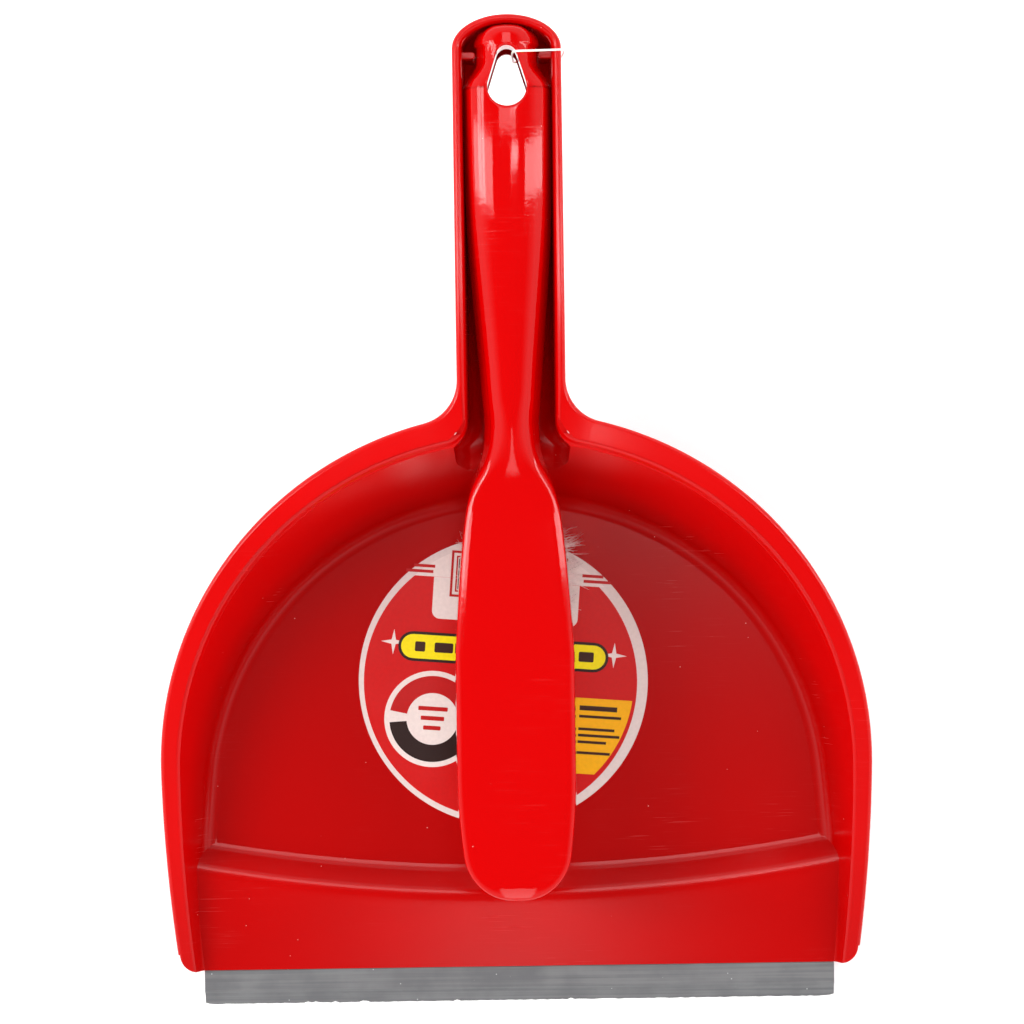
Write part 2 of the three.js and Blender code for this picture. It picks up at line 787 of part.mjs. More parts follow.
// The hollows under the brush's handle, with a rib left between each two.
function handlePockets(plan) {
  const from = neckStart + 14;
  const to = holeCentre - holeRadius - 2 * brushWall;
  const length = (to - from - pocketRib * (pocketCount - 1)) / pocketCount;
  const halfAt = (fromLip) => {
    const next = plan.findIndex(([at]) => at >= fromLip);
    const [[fromA, halfA], [fromB, halfB]] = [plan[next - 1], plan[next]];
    return lerp(halfA, halfB, (fromLip - fromA) / (fromB - fromA));
  };
  const pockets = [];
  for (let i = 0; i < pocketCount; i++) {
    const start = from + i * (length + pocketRib);
    const stations = [0, 1 / 3, 2 / 3, 1].map((t) => start + t * length);
    pockets.push(solidOf(loft(stations.map((fromLip) => {
      const below = brushBottom(fromLip) - 1;
      return brushSection(fromLip, halfAt(fromLip), brushWall, below);
    }), inSection)));
  }
  return pockets;
}

function brushSolid(places) {
  const plan = brushPlan();
  const body = solidOf(loft(plan.map(([fromLip, half]) => brushSection(fromLip, half, 0)), inSection));
  const cuts = [...places.map(tuftHole), ...handlePockets(plan)];
  return cuts.reduce((solid, cut) => solid.subtract(cut), body)
    .subtract(hangingHole(0, troughFloorHeight, brushHandleTop + 2));
}

// The round sticker on the floor.
function stickerGeometry() {
  const geometry = new THREE.CylinderGeometry(stickerRadius, stickerRadius, stickerThickness, 48);
  geometry.rotateX(Math.PI / 2);
  geometry.translate(stickerOffset, along(stickerFromLip), stickerTop - stickerThickness / 2);
  return geometry;
}

// The tie: a thin loop through both hanging holes and round the right edge, closed by a small lock.
function tieSolid() {
  const place = holeTop - holeTopRadius;
  const inHole = holeTopRadius - tieDiameter - tieClearance;
  const over = tieClearance + tieDiameter / 2;
  const outerX = handleHalf + over;
  const rim = rimHeight(place);
  const under = troughFloor(place) - wall - over;
  const top = brushTop(place) + over;
  const lockX = troughHalf * 0.55;
  const points = [
    [lockX - tieLock.length / 4, 0, under],
    [inHole + 1, 0, under],
    [inHole + 0.15, 0, under + 0.35],
    [inHole, 0, under + 1.2],
    [inHole - 0.3, 0, lerp(under, top, 0.5)],
    [inHole, 0, top - 1.2],
    [inHole + 1.8, 0.1, top + 0.2],
    [waistWidth / 2, 0.4, lerp(top, rim + over, 0.45)],
    [outerX - 0.9, 0.8, rim + over + 0.1],
    [outerX, 0.9, rim - over],
    [outerX, 0.8, lerp(rim, under, 0.45)],
    [handleHalf - 0.6, 0.5, under + 3.5],
    [troughHalf - 2.2, 0.2, under - 0.1],
    [lockX + tieLock.length / 4, 0, under],
  ];
  const path = new THREE.CatmullRomCurve3(
    points.map(([x, shift, z]) => new THREE.Vector3(x, along(place + shift), z)),
    false,
    'centripetal',
  );
  const circle = new THREE.Shape();
  circle.absarc(0, 0, tieDiameter / 2, 0, 2 * Math.PI, false);
  const strand = new THREE.ExtrudeGeometry(circle, {
    steps: 46,
    bevelEnabled: false,
    extrudePath: path,
    curveSegments: 3,
  });
  const lock = new THREE.BoxGeometry(tieLock.length, tieLock.width, tieLock.height);
  lock.translate(lockX, along(place), under - tieLock.height / 2 + over - tieClearance);
  return solidOf(strand).add(solidOf(lock));
}

// The assembly

const redPlastic = { color: 0xd5101c, roughness: 0.28, metalness: 0 };
const finishes = {
  dust_pan: redPlastic,
  brush_body: redPlastic,
  rubber_lip: { color: 0x85868a, roughness: 0.75, metalness: 0 },
  sticker: { color: 0xe9dcd8, roughness: 0.45, metalness: 0 },
  nylon_tie: { color: 0xf2f2ee, roughness: 0.4, metalness: 0 },
  bristle: { color: 0xe8d9d4, roughness: 0.5, metalness: 0 },
};

const set = new THREE.Group();

function place(name, geometry, finish) {
  const mesh = new THREE.Mesh(geometry, new THREE.MeshStandardMaterial(finish));
  mesh.name = name;
  set.add(mesh);
}

const places = tuftPlaces();
place('dust_pan', geometryOf(panSolid()), finishes.dust_pan);
place('rubber_lip', lipGeometry(), finishes.rubber_lip);
place('brush_body', geometryOf(brushSolid(places)), finishes.brush_body);
place('pan_sticker', stickerGeometry(), finishes.sticker);
place('nylon_tie', geometryOf(tieSolid()), finishes.nylon_tie);
places.forEach((spot, i) => {
  place(`tuft_${String(i + 1).padStart(2, '0')}`, tuftGeometry(spot), finishes.bristle);
});

export default set;
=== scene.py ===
"""A dust pan with a hand brush nested in it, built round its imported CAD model.

The panel in the 3D view's sidebar lists one operator for each piece or group of like pieces.
Lengths are in metres. Places along the pan are given as a distance from the front edge of the lip.
"""

import math
import random
from collections import namedtuple

import bmesh
import bpy
import numpy as np
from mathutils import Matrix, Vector


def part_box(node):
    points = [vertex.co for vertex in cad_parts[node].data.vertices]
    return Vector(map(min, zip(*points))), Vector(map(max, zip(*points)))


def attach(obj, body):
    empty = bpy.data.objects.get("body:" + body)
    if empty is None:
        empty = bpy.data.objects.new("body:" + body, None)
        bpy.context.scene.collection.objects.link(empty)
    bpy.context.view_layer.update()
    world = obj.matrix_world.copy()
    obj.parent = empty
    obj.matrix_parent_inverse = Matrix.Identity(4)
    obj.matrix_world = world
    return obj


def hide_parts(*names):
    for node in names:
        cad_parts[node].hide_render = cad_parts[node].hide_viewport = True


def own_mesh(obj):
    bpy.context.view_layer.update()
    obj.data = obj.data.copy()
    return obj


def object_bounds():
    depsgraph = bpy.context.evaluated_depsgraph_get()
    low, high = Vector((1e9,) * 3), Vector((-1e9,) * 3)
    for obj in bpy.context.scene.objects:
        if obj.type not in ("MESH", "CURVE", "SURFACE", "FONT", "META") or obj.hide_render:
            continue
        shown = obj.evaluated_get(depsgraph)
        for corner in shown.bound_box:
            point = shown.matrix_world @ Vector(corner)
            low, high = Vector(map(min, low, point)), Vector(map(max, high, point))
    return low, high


bl_info = {
    "name": "Dust Pan and Brush Set",
    "version": (1, 0, 0),
    "blender": (4, 5, 0),
    "location": "3D View > Sidebar > Dust Pan",
    "description": "Builds a moulded dust pan, its rubber lip, its hand brush and their finishes",
    "category": "Object",
}

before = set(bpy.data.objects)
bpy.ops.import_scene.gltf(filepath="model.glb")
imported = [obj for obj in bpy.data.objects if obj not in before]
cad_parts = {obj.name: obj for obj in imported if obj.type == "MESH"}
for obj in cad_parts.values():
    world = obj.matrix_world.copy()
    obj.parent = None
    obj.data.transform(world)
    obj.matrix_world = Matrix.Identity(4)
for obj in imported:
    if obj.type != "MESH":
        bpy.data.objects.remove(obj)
CAD_BOX = [list(corner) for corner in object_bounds()]
TUFTS = sorted(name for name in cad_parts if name.startswith("tuft_"))
SET_LENGTH = CAD_BOX[1][1] - CAD_BOX[0][1]
SET_WIDTH = CAD_BOX[1][0] - CAD_BOX[0][0]
LIP_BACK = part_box("rubber_lip")[1][1] - CAD_BOX[0][1]
BRUSH_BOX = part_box("brush_body")
STICKER_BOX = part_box("pan_sticker")

# The pear-shaped hanging hole, which runs through both handles
HOLE_FROM_END = 0.0104
HOLE_LENGTH = 0.019
HOLE_WIDE, HOLE_NARROW = 0.0062, 0.0033  # radii of its two rounds

# The brush handle's waist, which the pan's lugs hold, and the cap beyond it
WAIST_HALF = 0.0095
WAIST_LENGTH = 0.0043
CAP_LENGTH = 0.0068


# Sizes and colours that a user would change


def length(name, description, default):
    return bpy.props.FloatProperty(
        name=name, description=description, default=default, min=0.0, unit="LENGTH", precision=5
    )


def colour(name, description, default):
    return bpy.props.StringProperty(name=name, description=description, default=default)


class PanSizes(bpy.types.PropertyGroup):
    """Sizes of the dust pan's moulding."""

    bowl_length: length("Bowl length", "From the lip's front edge to the back rim", 0.1945)
    wall: length("Wall", "Thickness of the moulded wall", 0.0022)
    floor: length("Floor", "Thickness of the pan's floor", 0.002)
    front_rim: length("Front rim height", "Height of the rim at the front corners", 0.009)
    back_rim: length("Back rim height", "Height of the rim at the neck", 0.056)
    handle_end: length("Handle height", "Height of the handle's rim at its end", 0.062)
    handle_width: length("Handle width", "Width over the handle's rim", 0.0346)
    strip: length("Handle rim", "Width of the rim beside the trough", 0.0029)
    floor_fillet: length("Floor fillet", "Radius between the wall and the floor", 0.006)
    rim_round: length("Rim rounding", "Radius on the rim's outer edge", 0.0015)
    mouth_round: length("Mouth rounding", "Radius where the trough runs down into the bowl", 0.014)
    crest: length("Crest height", "Height of the crest behind the lip", 0.008)


class BrushSizes(bpy.types.PropertyGroup):
    """Sizes of the hand brush."""

    head_width: length("Head width", "Width of the brush's head", 0.0388)
    neck_width: length("Neck width", "Width where the handle meets the head", 0.0174)
    head_height: length("Head height", "Height of the top of the head", 0.050)
    head_thickness: length("Head thickness", "Depth of the head", 0.014)
    bristle: length("Bristle thickness", "Diameter of one bristle", 0.00022)
    bristles: bpy.props.IntProperty(
        name="Bristles", description="Number of bristles in one tuft", default=110, min=1
    )


class SetColours(bpy.types.PropertyGroup):
    """Colours of the finishes, as sRGB hex values."""

    pan_red: colour("Pan red", "Colour of the pan's plastic", "#C60001")
    # Besides the pigment swirls, this red is painted shade on the pan's low parts, the floor most.
    pan_deep_and_shade: colour("Pan deep red", "The pan's red where the plastic is thicker", "#AE0000")
    brush_red: colour("Brush red", "Colour of the brush's plastic", "#C20001")
    lip_grey: colour("Lip grey", "Colour of the rubber lip", "#707071")
    # Off-white with a pink tint, and the tint is painted red bounce light from the pan.
    bristle: colour("Bristle", "Colour of the bristles", "#EBDCD8")
    film: colour("Sticker film", "Colour of the sticker's bare film", "#EADBD6")


def colours_of(context):
    return context.scene.dust_pan_colours


# Modelling helpers


def mix(a, b, t):
    return a + (b - a) * t


def smooth(x, start, end):
    t = min(max((x - start) / (end - start), 0.0), 1.0)
    return t * t * (3 - 2 * t)


def along(from_lip):
    """The Y of a place that is given as a distance from the front edge of the lip."""
    return CAD_BOX[0][1] + from_lip


def deselect():
    for item in bpy.context.selected_objects:
        item.select_set(False)


def shape_face(made, ring):
    """Moves the corners of the selected face onto a ring of points."""
    mesh = bmesh.from_edit_mesh(made.data)
    face = next(face for face in mesh.faces if face.select)
    for loop, point in zip(face.loops, ring):
        loop.vert.co = point
    bmesh.update_edit_mesh(made.data)


def grown(name, rings):
    """A filled circle takes the first ring's shape and is extruded from ring to ring."""
    deselect()
    bpy.ops.mesh.primitive_circle_add(vertices=len(rings[0]), fill_type="NGON")
    made = bpy.context.object
    made.name = name
    bpy.ops.object.mode_set(mode="EDIT")
    bpy.ops.mesh.select_mode(type="FACE")
    bpy.ops.mesh.select_all(action="SELECT")
    shape_face(made, rings[0])
    for ring in rings[1:]:
        bpy.ops.mesh.extrude_region_move()
        shape_face(made, ring)
    bpy.ops.mesh.select_all(action="SELECT")
    bpy.ops.mesh.normals_make_consistent(inside=False)
    bpy.ops.object.mode_set(mode="OBJECT")
    return made


def combine(body, tool, operation):
    """Joins a tool to the body, cuts the body with it, or keeps what both share."""
    step = body.modifiers.new("combine", "BOOLEAN")
    step.operation = operation
    step.solver = "MANIFOLD"
    step.object = tool
    bpy.context.view_layer.objects.active = body
    bpy.ops.object.modifier_apply(modifier=step.name)
    bpy.data.objects.remove(tool)
    return body


def joined(pieces, name):
    """Several objects become one, with their meshes side by side."""
    deselect()
    for item in pieces:
        item.select_set(True)
    bpy.context.view_layer.objects.active = pieces[0]
    if len(pieces) > 1:
        bpy.ops.object.join()
    pieces[0].name = name
    return pieces[0]


def settled(made):
    """Puts the object's place, turn and size into its mesh."""
    deselect()
    made.select_set(True)
    bpy.context.view_layer.objects.active = made
    bpy.ops.object.transform_apply(location=True, rotation=True, scale=True)
    return made


def smoothed(made, degrees):
    """Merges doubles, shades the faces smooth up to an angle and weights their normals by area."""
    deselect()
    made.select_set(True)
    bpy.context.view_layer.objects.active = made
    bpy.ops.object.mode_set(mode="EDIT")
    bpy.ops.mesh.select_all(action="SELECT")
    bpy.ops.mesh.remove_doubles(threshold=2e-6)
    bpy.ops.object.mode_set(mode="OBJECT")
    bpy.ops.object.shade_smooth_by_angle(angle=math.radians(degrees))
    weighted = made.modifiers.new("weighted", "WEIGHTED_NORMAL")
    weighted.keep_sharp = True
    bpy.ops.object.modifier_apply(modifier=weighted.name)
    return made


def finished(made, body, nodes, material):
    """Attaches a piece to the body it rides on, hides the CAD nodes it stands for and gives it its finish.
    """
    made.data.materials.clear()
    made.data.materials.append(material)
    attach(made, body)
    if nodes:
        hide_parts(*nodes)
    return made


# The pan's shape


Spot = namedtuple("Spot", "x y in_x in_y width")


class PanShape:
    """Heights, outlines and sections of the pan, worked out from its sizes."""

    front = LIP_BACK
    taper = 0.004
    front_corner = 0.006
    front_flange = 0.005
    back_flange = 0.008
    lean = 0.34
    skirt = 0.005
    skirt_wall = 0.0016
    neck_fillet = 0.014
    mouth_fillet = 0.008
    end_depth = 0.0108
    trough_floor = 0.038
    trough_rise = 0.03
    trough_lean = 0.04
    trough_corner = 0.005
    above = 0.012

    def __init__(self, sizes):
        self.sizes = sizes
        self.half = SET_WIDTH / 2
        self.back = sizes.bowl_length
        self.centre = self.back - self.half
        self.across = sizes.handle_width / 2
        self.trough = self.across - sizes.strip
        self.mouth = self.back - self.back_flange
        self.neck = self.back + self.neck_fillet
        # The trough's floor turns down by this angle until it runs along the bowl's back wall.
        wall_angle = math.pi / 2 - math.atan(self.lean)
        turned = sizes.mouth_round * (1 - math.cos(wall_angle))
        fall = sizes.back_rim - self.trough_floor + turned
        self.start = self.mouth - fall * self.lean
        self.lead = self.start + sizes.mouth_round * math.sin(wall_angle)

    def rim(self, y):
        """Height of the rim: a straight slope over the bowl that levels out along the handle."""
        s = self.sizes
        slope = (s.back_rim - s.front_rim) / (self.back - self.front)
        if y <= self.back:
            return s.front_rim + slope * (y - self.front)
        rise = s.handle_end - s.back_rim
        return s.back_rim + rise * (1 - math.exp(-(y - self.back) * slope / rise))

    def flange(self, y):
        return mix(self.front_flange, self.back_flange, (y - self.front) / (self.back - self.front))

    def side(self, count):
        spots = []
        for i in range(count):
            y = mix(self.front, self.centre, i / count)
            drawn = self.taper * ((self.centre - y) / (self.centre - self.front)) ** 2
            spots.append(Spot(self.half - drawn, y, -1, 0, self.flange(y)))
        return spots

    def arc(self, end, count):
        spots = []
        for i in range(count + 1):
            cos, sin = math.cos(end * i / count), math.sin(end * i / count)
            y = self.centre + self.half * sin
            spots.append(Spot(self.half * cos, y, -cos, -sin, self.flange(y)))
        return spots

    def bowl_line(self):
        """The bowl's outer edge, from the right front corner round the back to the left one."""
        return mirrored(self.side(24) + self.arc(math.pi / 2, 72))

    def rim_line(self, inner):
        """The whole rim's outer edge or, with inner, the edge of the void inside it."""
        drop = self.back_flange if inner else 0
        half = self.half - drop
        across = self.trough if inner else self.across
        fillet = self.mouth_fillet if inner else self.neck_fillet
        strip = self.sizes.strip
        fx = across + fillet
        fy = self.centre + math.sqrt((half + fillet) ** 2 - fx**2)
        meet = math.atan2(fy - self.centre, fx)
        spots = self.side(24) + self.arc(meet, 66)
        if inner:
            spots = [spot_inset(spot, spot.width) for spot in spots]
        for i in range(1, 17):
            angle = mix(meet + math.pi, math.pi, i / 16)
            cos, sin = math.cos(angle), math.sin(angle)
            width = mix(self.back_flange, strip, i / 16)
            spots.append(Spot(fx + fillet * cos, fy + fillet * sin, cos, sin, width))
        end = SET_LENGTH - self.end_depth
        for i in range(1, 20):
            spots.append(Spot(across, mix(fy, end, i / 20), -1, 0, strip))
        deep = self.end_depth - (strip if inner else 0)
        for i in range(25):
            angle = math.pi / 2 * i / 24
            cos, sin = math.cos(angle), math.sin(angle)
            size = math.hypot(cos / across, sin / deep)
            inward = (-cos / across / size, -sin / deep / size)
            spots.append(Spot(across * cos, end + deep * sin, *inward, strip))
        return mirrored(spots)

    def wall_profile(self, top_inset, top_z, floor_z, radius, steps):
        """The wall's face and the fillet at its foot, as insets and heights from the foot up."""
        lean = math.atan(self.lean)
        foot = top_inset + (top_z - floor_z) * self.lean
        limited = min(radius, (top_z - floor_z) * 0.6)
        tangent = limited * math.tan(math.pi / 4 - lean / 2)
        profile = []
        for i in range(steps + 1):
            angle = mix(1.5 * math.pi, math.pi + lean, i / steps)
            inset = foot + tangent + limited * math.cos(angle)
            profile.append((inset, floor_z + limited + limited * math.sin(angle)))
        return profile + [(top_inset, top_z)]

    def bowl(self, name, line, profile_at):
        """Lays a wall profile round a line of spots and closes it into a solid."""
        profiles = [profile_at(spot) for spot in line]
        rings = []
        for level in range(len(profiles[0])):
            rings.append([at_inset(s, *profile[level]) for s, profile in zip(line, profiles)])
        return grown(name, rings)

    def bowl_outside(self):
        wall = self.sizes.wall / math.cos(math.atan(self.lean))
        radius = self.sizes.floor_fillet + self.sizes.wall

        def profile_at(spot):
            top = self.rim(spot.y) - self.sizes.wall / 2
            return self.wall_profile(spot.width - wall, top, 0, radius, 8)

        return self.bowl("bowl_outside", self.bowl_line(), profile_at)

    def run_out(self, line):
        """Carries both ends of a line of spots straight on, clear of the pan's front edge."""
        right = line[0]._replace(y=-self.front, in_x=-1, in_y=0)
        left = line[-1]._replace(y=-self.front, in_x=1, in_y=0)
        return [right, *line, left]

    def bowl_inside(self):
        line = self.run_out(self.bowl_line())

        def profile_at(spot):
            rim = self.rim(max(spot.y, self.front))
            s = self.sizes
            profile = self.wall_profile(spot.width, rim, s.floor, s.floor_fillet, 12)
            return profile + [(spot.width, rim + self.above)]

        return self.bowl("bowl_inside", line, profile_at)

    def rim_rounding(self):
        """What the rim's round inner edge takes away, all round the bowl and the trough."""
        line = self.run_out(self.rim_line(inner=True))

        def profile_at(spot):
            rim = self.rim(max(spot.y, self.front))
            radius = self.sizes.rim_round * mix(0.8, 1.35, smooth(spot.y, self.mouth, self.neck))
            lean = mix(self.lean, self.trough_lean, smooth(spot.y, self.mouth - 0.006, self.mouth + 0.004))
            foot = radius * lean - 0.00002
            profile = [(foot + 0.0006, rim - radius - 0.0012)]
            for i in range(9):
                angle = math.radians(82) * i / 8
                inset = foot - (foot + radius) * (1 - math.cos(angle))
                profile.append((inset, rim - radius + radius * math.sin(angle)))
            return profile + [(profile[-1][0], rim + self.above)]

        return self.bowl("rim_rounding", line, profile_at)

    def rim_flange(self):
        """The flat rim with a round outer edge and a skirt turned down under it."""
        s = self.sizes
        sink = 0.0012
        rings = []
        for spot in self.rim_line(inner=False):
            top = self.rim(spot.y)
            reach = spot.width + sink
            section = [(reach, top), (reach, top - s.wall), (self.skirt_wall, top - s.wall)]
            section += [(self.skirt_wall, top - self.skirt + 0.0003), (0.0012, top - self.skirt)]
            section += [(0.0003, top - self.skirt), (0, top - self.skirt + 0.0004)]
            for i in range(9):
                angle = math.pi - math.pi / 2 * i / 8
                lowered = s.rim_round * (1 - math.sin(angle))
                section.append((s.rim_round * (1 + math.cos(angle)), top - lowered))
            rings.append([at_inset(spot, inset, z) for inset, z in section])
        return grown("rim_flange", rings)

    def trough_section(self, y, half_top, top, bottom, corner):
        """One section of the trough, a flat-topped U with round lower corners."""
        half_bottom = max(half_top - (top - bottom) * self.trough_lean, half_top * 0.3)
        radius = min(corner, half_bottom * 0.9)
        half = [(half_top, top)]
        for i in range(13):
            angle = -math.pi / 2 * i / 12
            x = half_bottom - radius + radius * math.cos(angle)
            half.append((x, bottom + radius + radius * math.sin(angle)))
        ring = half + [(-x, z) for x, z in reversed(half)]
        # Near the bowl a station is curved like the bowl's back.
        curved = 1 - smooth(y, self.mouth, self.neck)
        inner = self.half - self.back_flange
        return [(x, along(y - curved * (inner - math.sqrt(inner**2 - x**2))), z) for x, z in ring]

    def floor_at(self, y):
        return self.trough_floor + self.trough_rise * (y - self.back)

    def drop_at(self, y):
        """How far the trough's floor has rounded down towards the bowl."""
        radius = self.sizes.mouth_round
        over = min(max(self.lead - y, 0), self.lead - self.start)
        return radius - math.sqrt(radius**2 - over**2)

    def flare_at(self, y, straight):
        """How much wider than its straight part the trough has become towards the bowl."""
        x = self.trough + self.mouth_fillet
        inner = self.half - self.back_flange
        centre = self.centre + math.sqrt((inner + self.mouth_fillet) ** 2 - x**2)
        radius = x - straight
        over = min(max(centre - y, 0), radius * 0.9)
        return radius - math.sqrt(radius**2 - over**2)

    def stations(self, first, step, depth, end):
        found = [first]
        while found[-1] < self.neck:
            found.append(found[-1] + step)
        straight = end - depth
        found += [mix(found[-1], straight, i / 12) for i in range(1, 12)]
        found += [straight + depth * math.sin(math.pi / 2 * i / 28) for i in range(29)]
        return found

    def end_half(self, y, half, depth, end):
        """Half the handle's width at a station, for an arched end of this depth."""
        over = min(max(y - (end - depth), 0), depth * 0.999)
        return half * math.sqrt(1 - (over / depth) ** 2)

    def handle_outside(self):
        inset = 0.0005
        half = self.across - inset
        end = SET_LENGTH - inset
        depth = self.end_depth - inset
        wall = self.sizes.wall
        rings = []
        for y in self.stations(self.start, 0.0012, depth, end):
            bottom = self.floor_at(y) - wall - self.drop_at(y - 0.003)
            width = self.end_half(y, half, depth, end) + self.flare_at(y, half)
            top = self.rim(y) - wall / 2
            rings.append(self.trough_section(y, width, top, bottom, self.trough_corner + wall))
        return grown("handle_outside", rings)

    def trough_inside(self):
        end = SET_LENGTH - self.sizes.strip
        depth = self.end_depth - self.sizes.strip
        rings = []
        for y in self.stations(self.start - 0.002, 0.0008, depth, end):
            top = self.rim(y) + self.above
            bottom = self.floor_at(y) - self.drop_at(y)
            width = self.end_half(y, self.trough, depth, end) + self.flare_at(y, self.trough)
            width += self.above * self.trough_lean
            rings.append(self.trough_section(y, width, top, bottom, self.trough_corner))
        return grown("trough_inside", rings)

    def crest_at(self, x):
        return 0.037 + 0.011 * (x / (self.half - self.taper)) ** 2

    def ramp(self, name, lowered, front, back, bottom):
        """The ramp behind the lip: up to the crest, over it and down a step to the floor."""
        s = self.sizes
        rings = []
        for i in range(61):
            x = mix(-self.half, self.half, i / 60)
            crest = self.crest_at(x)
            share = (front - self.front) / (crest - 0.005 - self.front)
            edge = mix(0.0031, s.crest - 0.0005, share)
            profile = [(front, edge), (crest - 0.005, s.crest - 0.0005)]
            profile += [(crest - 0.0035, s.crest - 0.00018), (crest - 0.002, s.crest)]
            profile += [(crest - 0.0007, s.crest - 0.00002), (crest + 0.0003, s.crest - 0.0003)]
            profile += [(crest + 0.0012, s.crest - 0.0009)]
            step = crest + 0.0075 + back
            profile += [(step - 0.0017, s.floor + 0.0012), (step - 0.0008, s.floor + 0.0006)]
            profile += [(step, s.floor + 0.00025), (step + 0.0008, s.floor + 0.00005)]
            profile = [(y, z - lowered) for y, z in profile]
            profile += [(step + 0.0012, max(s.floor - 0.0008 - lowered, bottom + 0.0001))]
            profile += [(step + 0.0012, bottom), (front, bottom)]
            rings.append([(x, along(y), z) for y, z in profile])
        return grown(name, rings)

    def plate(self, name, width, start, end, bottom, top):
        deselect()
        middle = (0, along((start + end) / 2), (bottom + top) / 2)
        bpy.ops.mesh.primitive_cube_add(size=1, location=middle, scale=(width, end - start, top - bottom))
        bpy.context.object.name = name
        return settled(bpy.context.object)

    def corner_tool(self, side):
        """The sharp part outside a round front corner."""
        x = self.half - self.taper
        cx, cy = x - self.front_corner, self.front + self.front_corner
        radius = self.front_corner
        line = [(cx, self.front - 0.001), (x + 0.002, self.front - 0.001), (x + 0.002, cy)]
        for i in range(13):
            angle = -math.pi / 2 * i / 12
            line.append((cx + radius * math.cos(angle), cy + radius * math.sin(angle)))
        rings = [[(side * px, along(py), z) for px, py in line] for z in (-0.001, 0.02)]
        return grown("corner_tool", rings)

    def lug(self, side, reach, thickness, y, top):
        """A snap lug on the trough's side wall, with a round nose."""
        half = thickness / 2
        root = self.trough + self.sizes.strip / 2
        line = [(root, -half), (root, half)]
        for i in range(13):
            angle = math.pi / 2 + math.pi * i / 12
            line.append((reach + half + half * math.cos(angle), half * math.sin(angle)))
        bottom = self.floor_at(y) - self.sizes.wall / 2
        levels = [(bottom, 0), (top - 0.0005, 0), (top - 0.00015, 0.00015), (top, 0.0005)]
        rings = []
        for z, inset in levels:
            scale = (half - inset) / half
            ring = []
            for px, py in line:
                drawn = px + (inset if px < reach + half else 0)
                ring.append((side * drawn, along(y + py * scale), z))
            rings.append(ring)
        return grown("lug", rings)


def spot_inset(spot, inset):
    return spot._replace(x=spot.x + spot.in_x * inset, y=spot.y + spot.in_y * inset)


def at_inset(spot, inset, z):
    return (spot.x + spot.in_x * inset, along(spot.y + spot.in_y * inset), z)


def mirrored(spots):
    left = [spot._replace(x=-spot.x, in_x=-spot.in_x) for spot in reversed(spots)]
    return spots + (left[1:] if abs(spots[-1].x) < 1e-9 else left)


# Materials


def linear(code):
    """Turns an sRGB hex value into linear colour."""
    parts = [int(code[i : i + 2], 16) / 255 for i in (1, 3, 5)]
    return tuple(p / 12.92 if p <= 0.04045 else ((p + 0.055) / 1.055) ** 2.4 for p in parts) + (1.0,)


def add(tree, kind, inputs=None, **settings):
    """Adds a shader node with its settings. An input that is a socket is linked."""
    made = tree.nodes.new("ShaderNode" + kind)
    for key, value in settings.items():
        setattr(made, key, value)
    for key, value in (inputs or {}).items():
        if isinstance(value, bpy.types.NodeSocket):
            tree.links.new(value, made.inputs[key])
        else:
            made.inputs[key].default_value = value
    return made


def new_material(name):
    """An empty material with its output, and the piece's own coordinates in metres."""
    material = bpy.data.materials.new(name)
    material.use_nodes = True
    tree = material.node_tree
    tree.nodes.clear()
    return material, tree, add(tree, "TexCoord").outputs["Object"]


def surface(tree, shader):
    add(tree, "OutputMaterial", {"Surface": shader.outputs["BSDF"]})


def per_metre(size):
    """The texture scale that gives a pattern of this size in metres."""
    return 1 / size


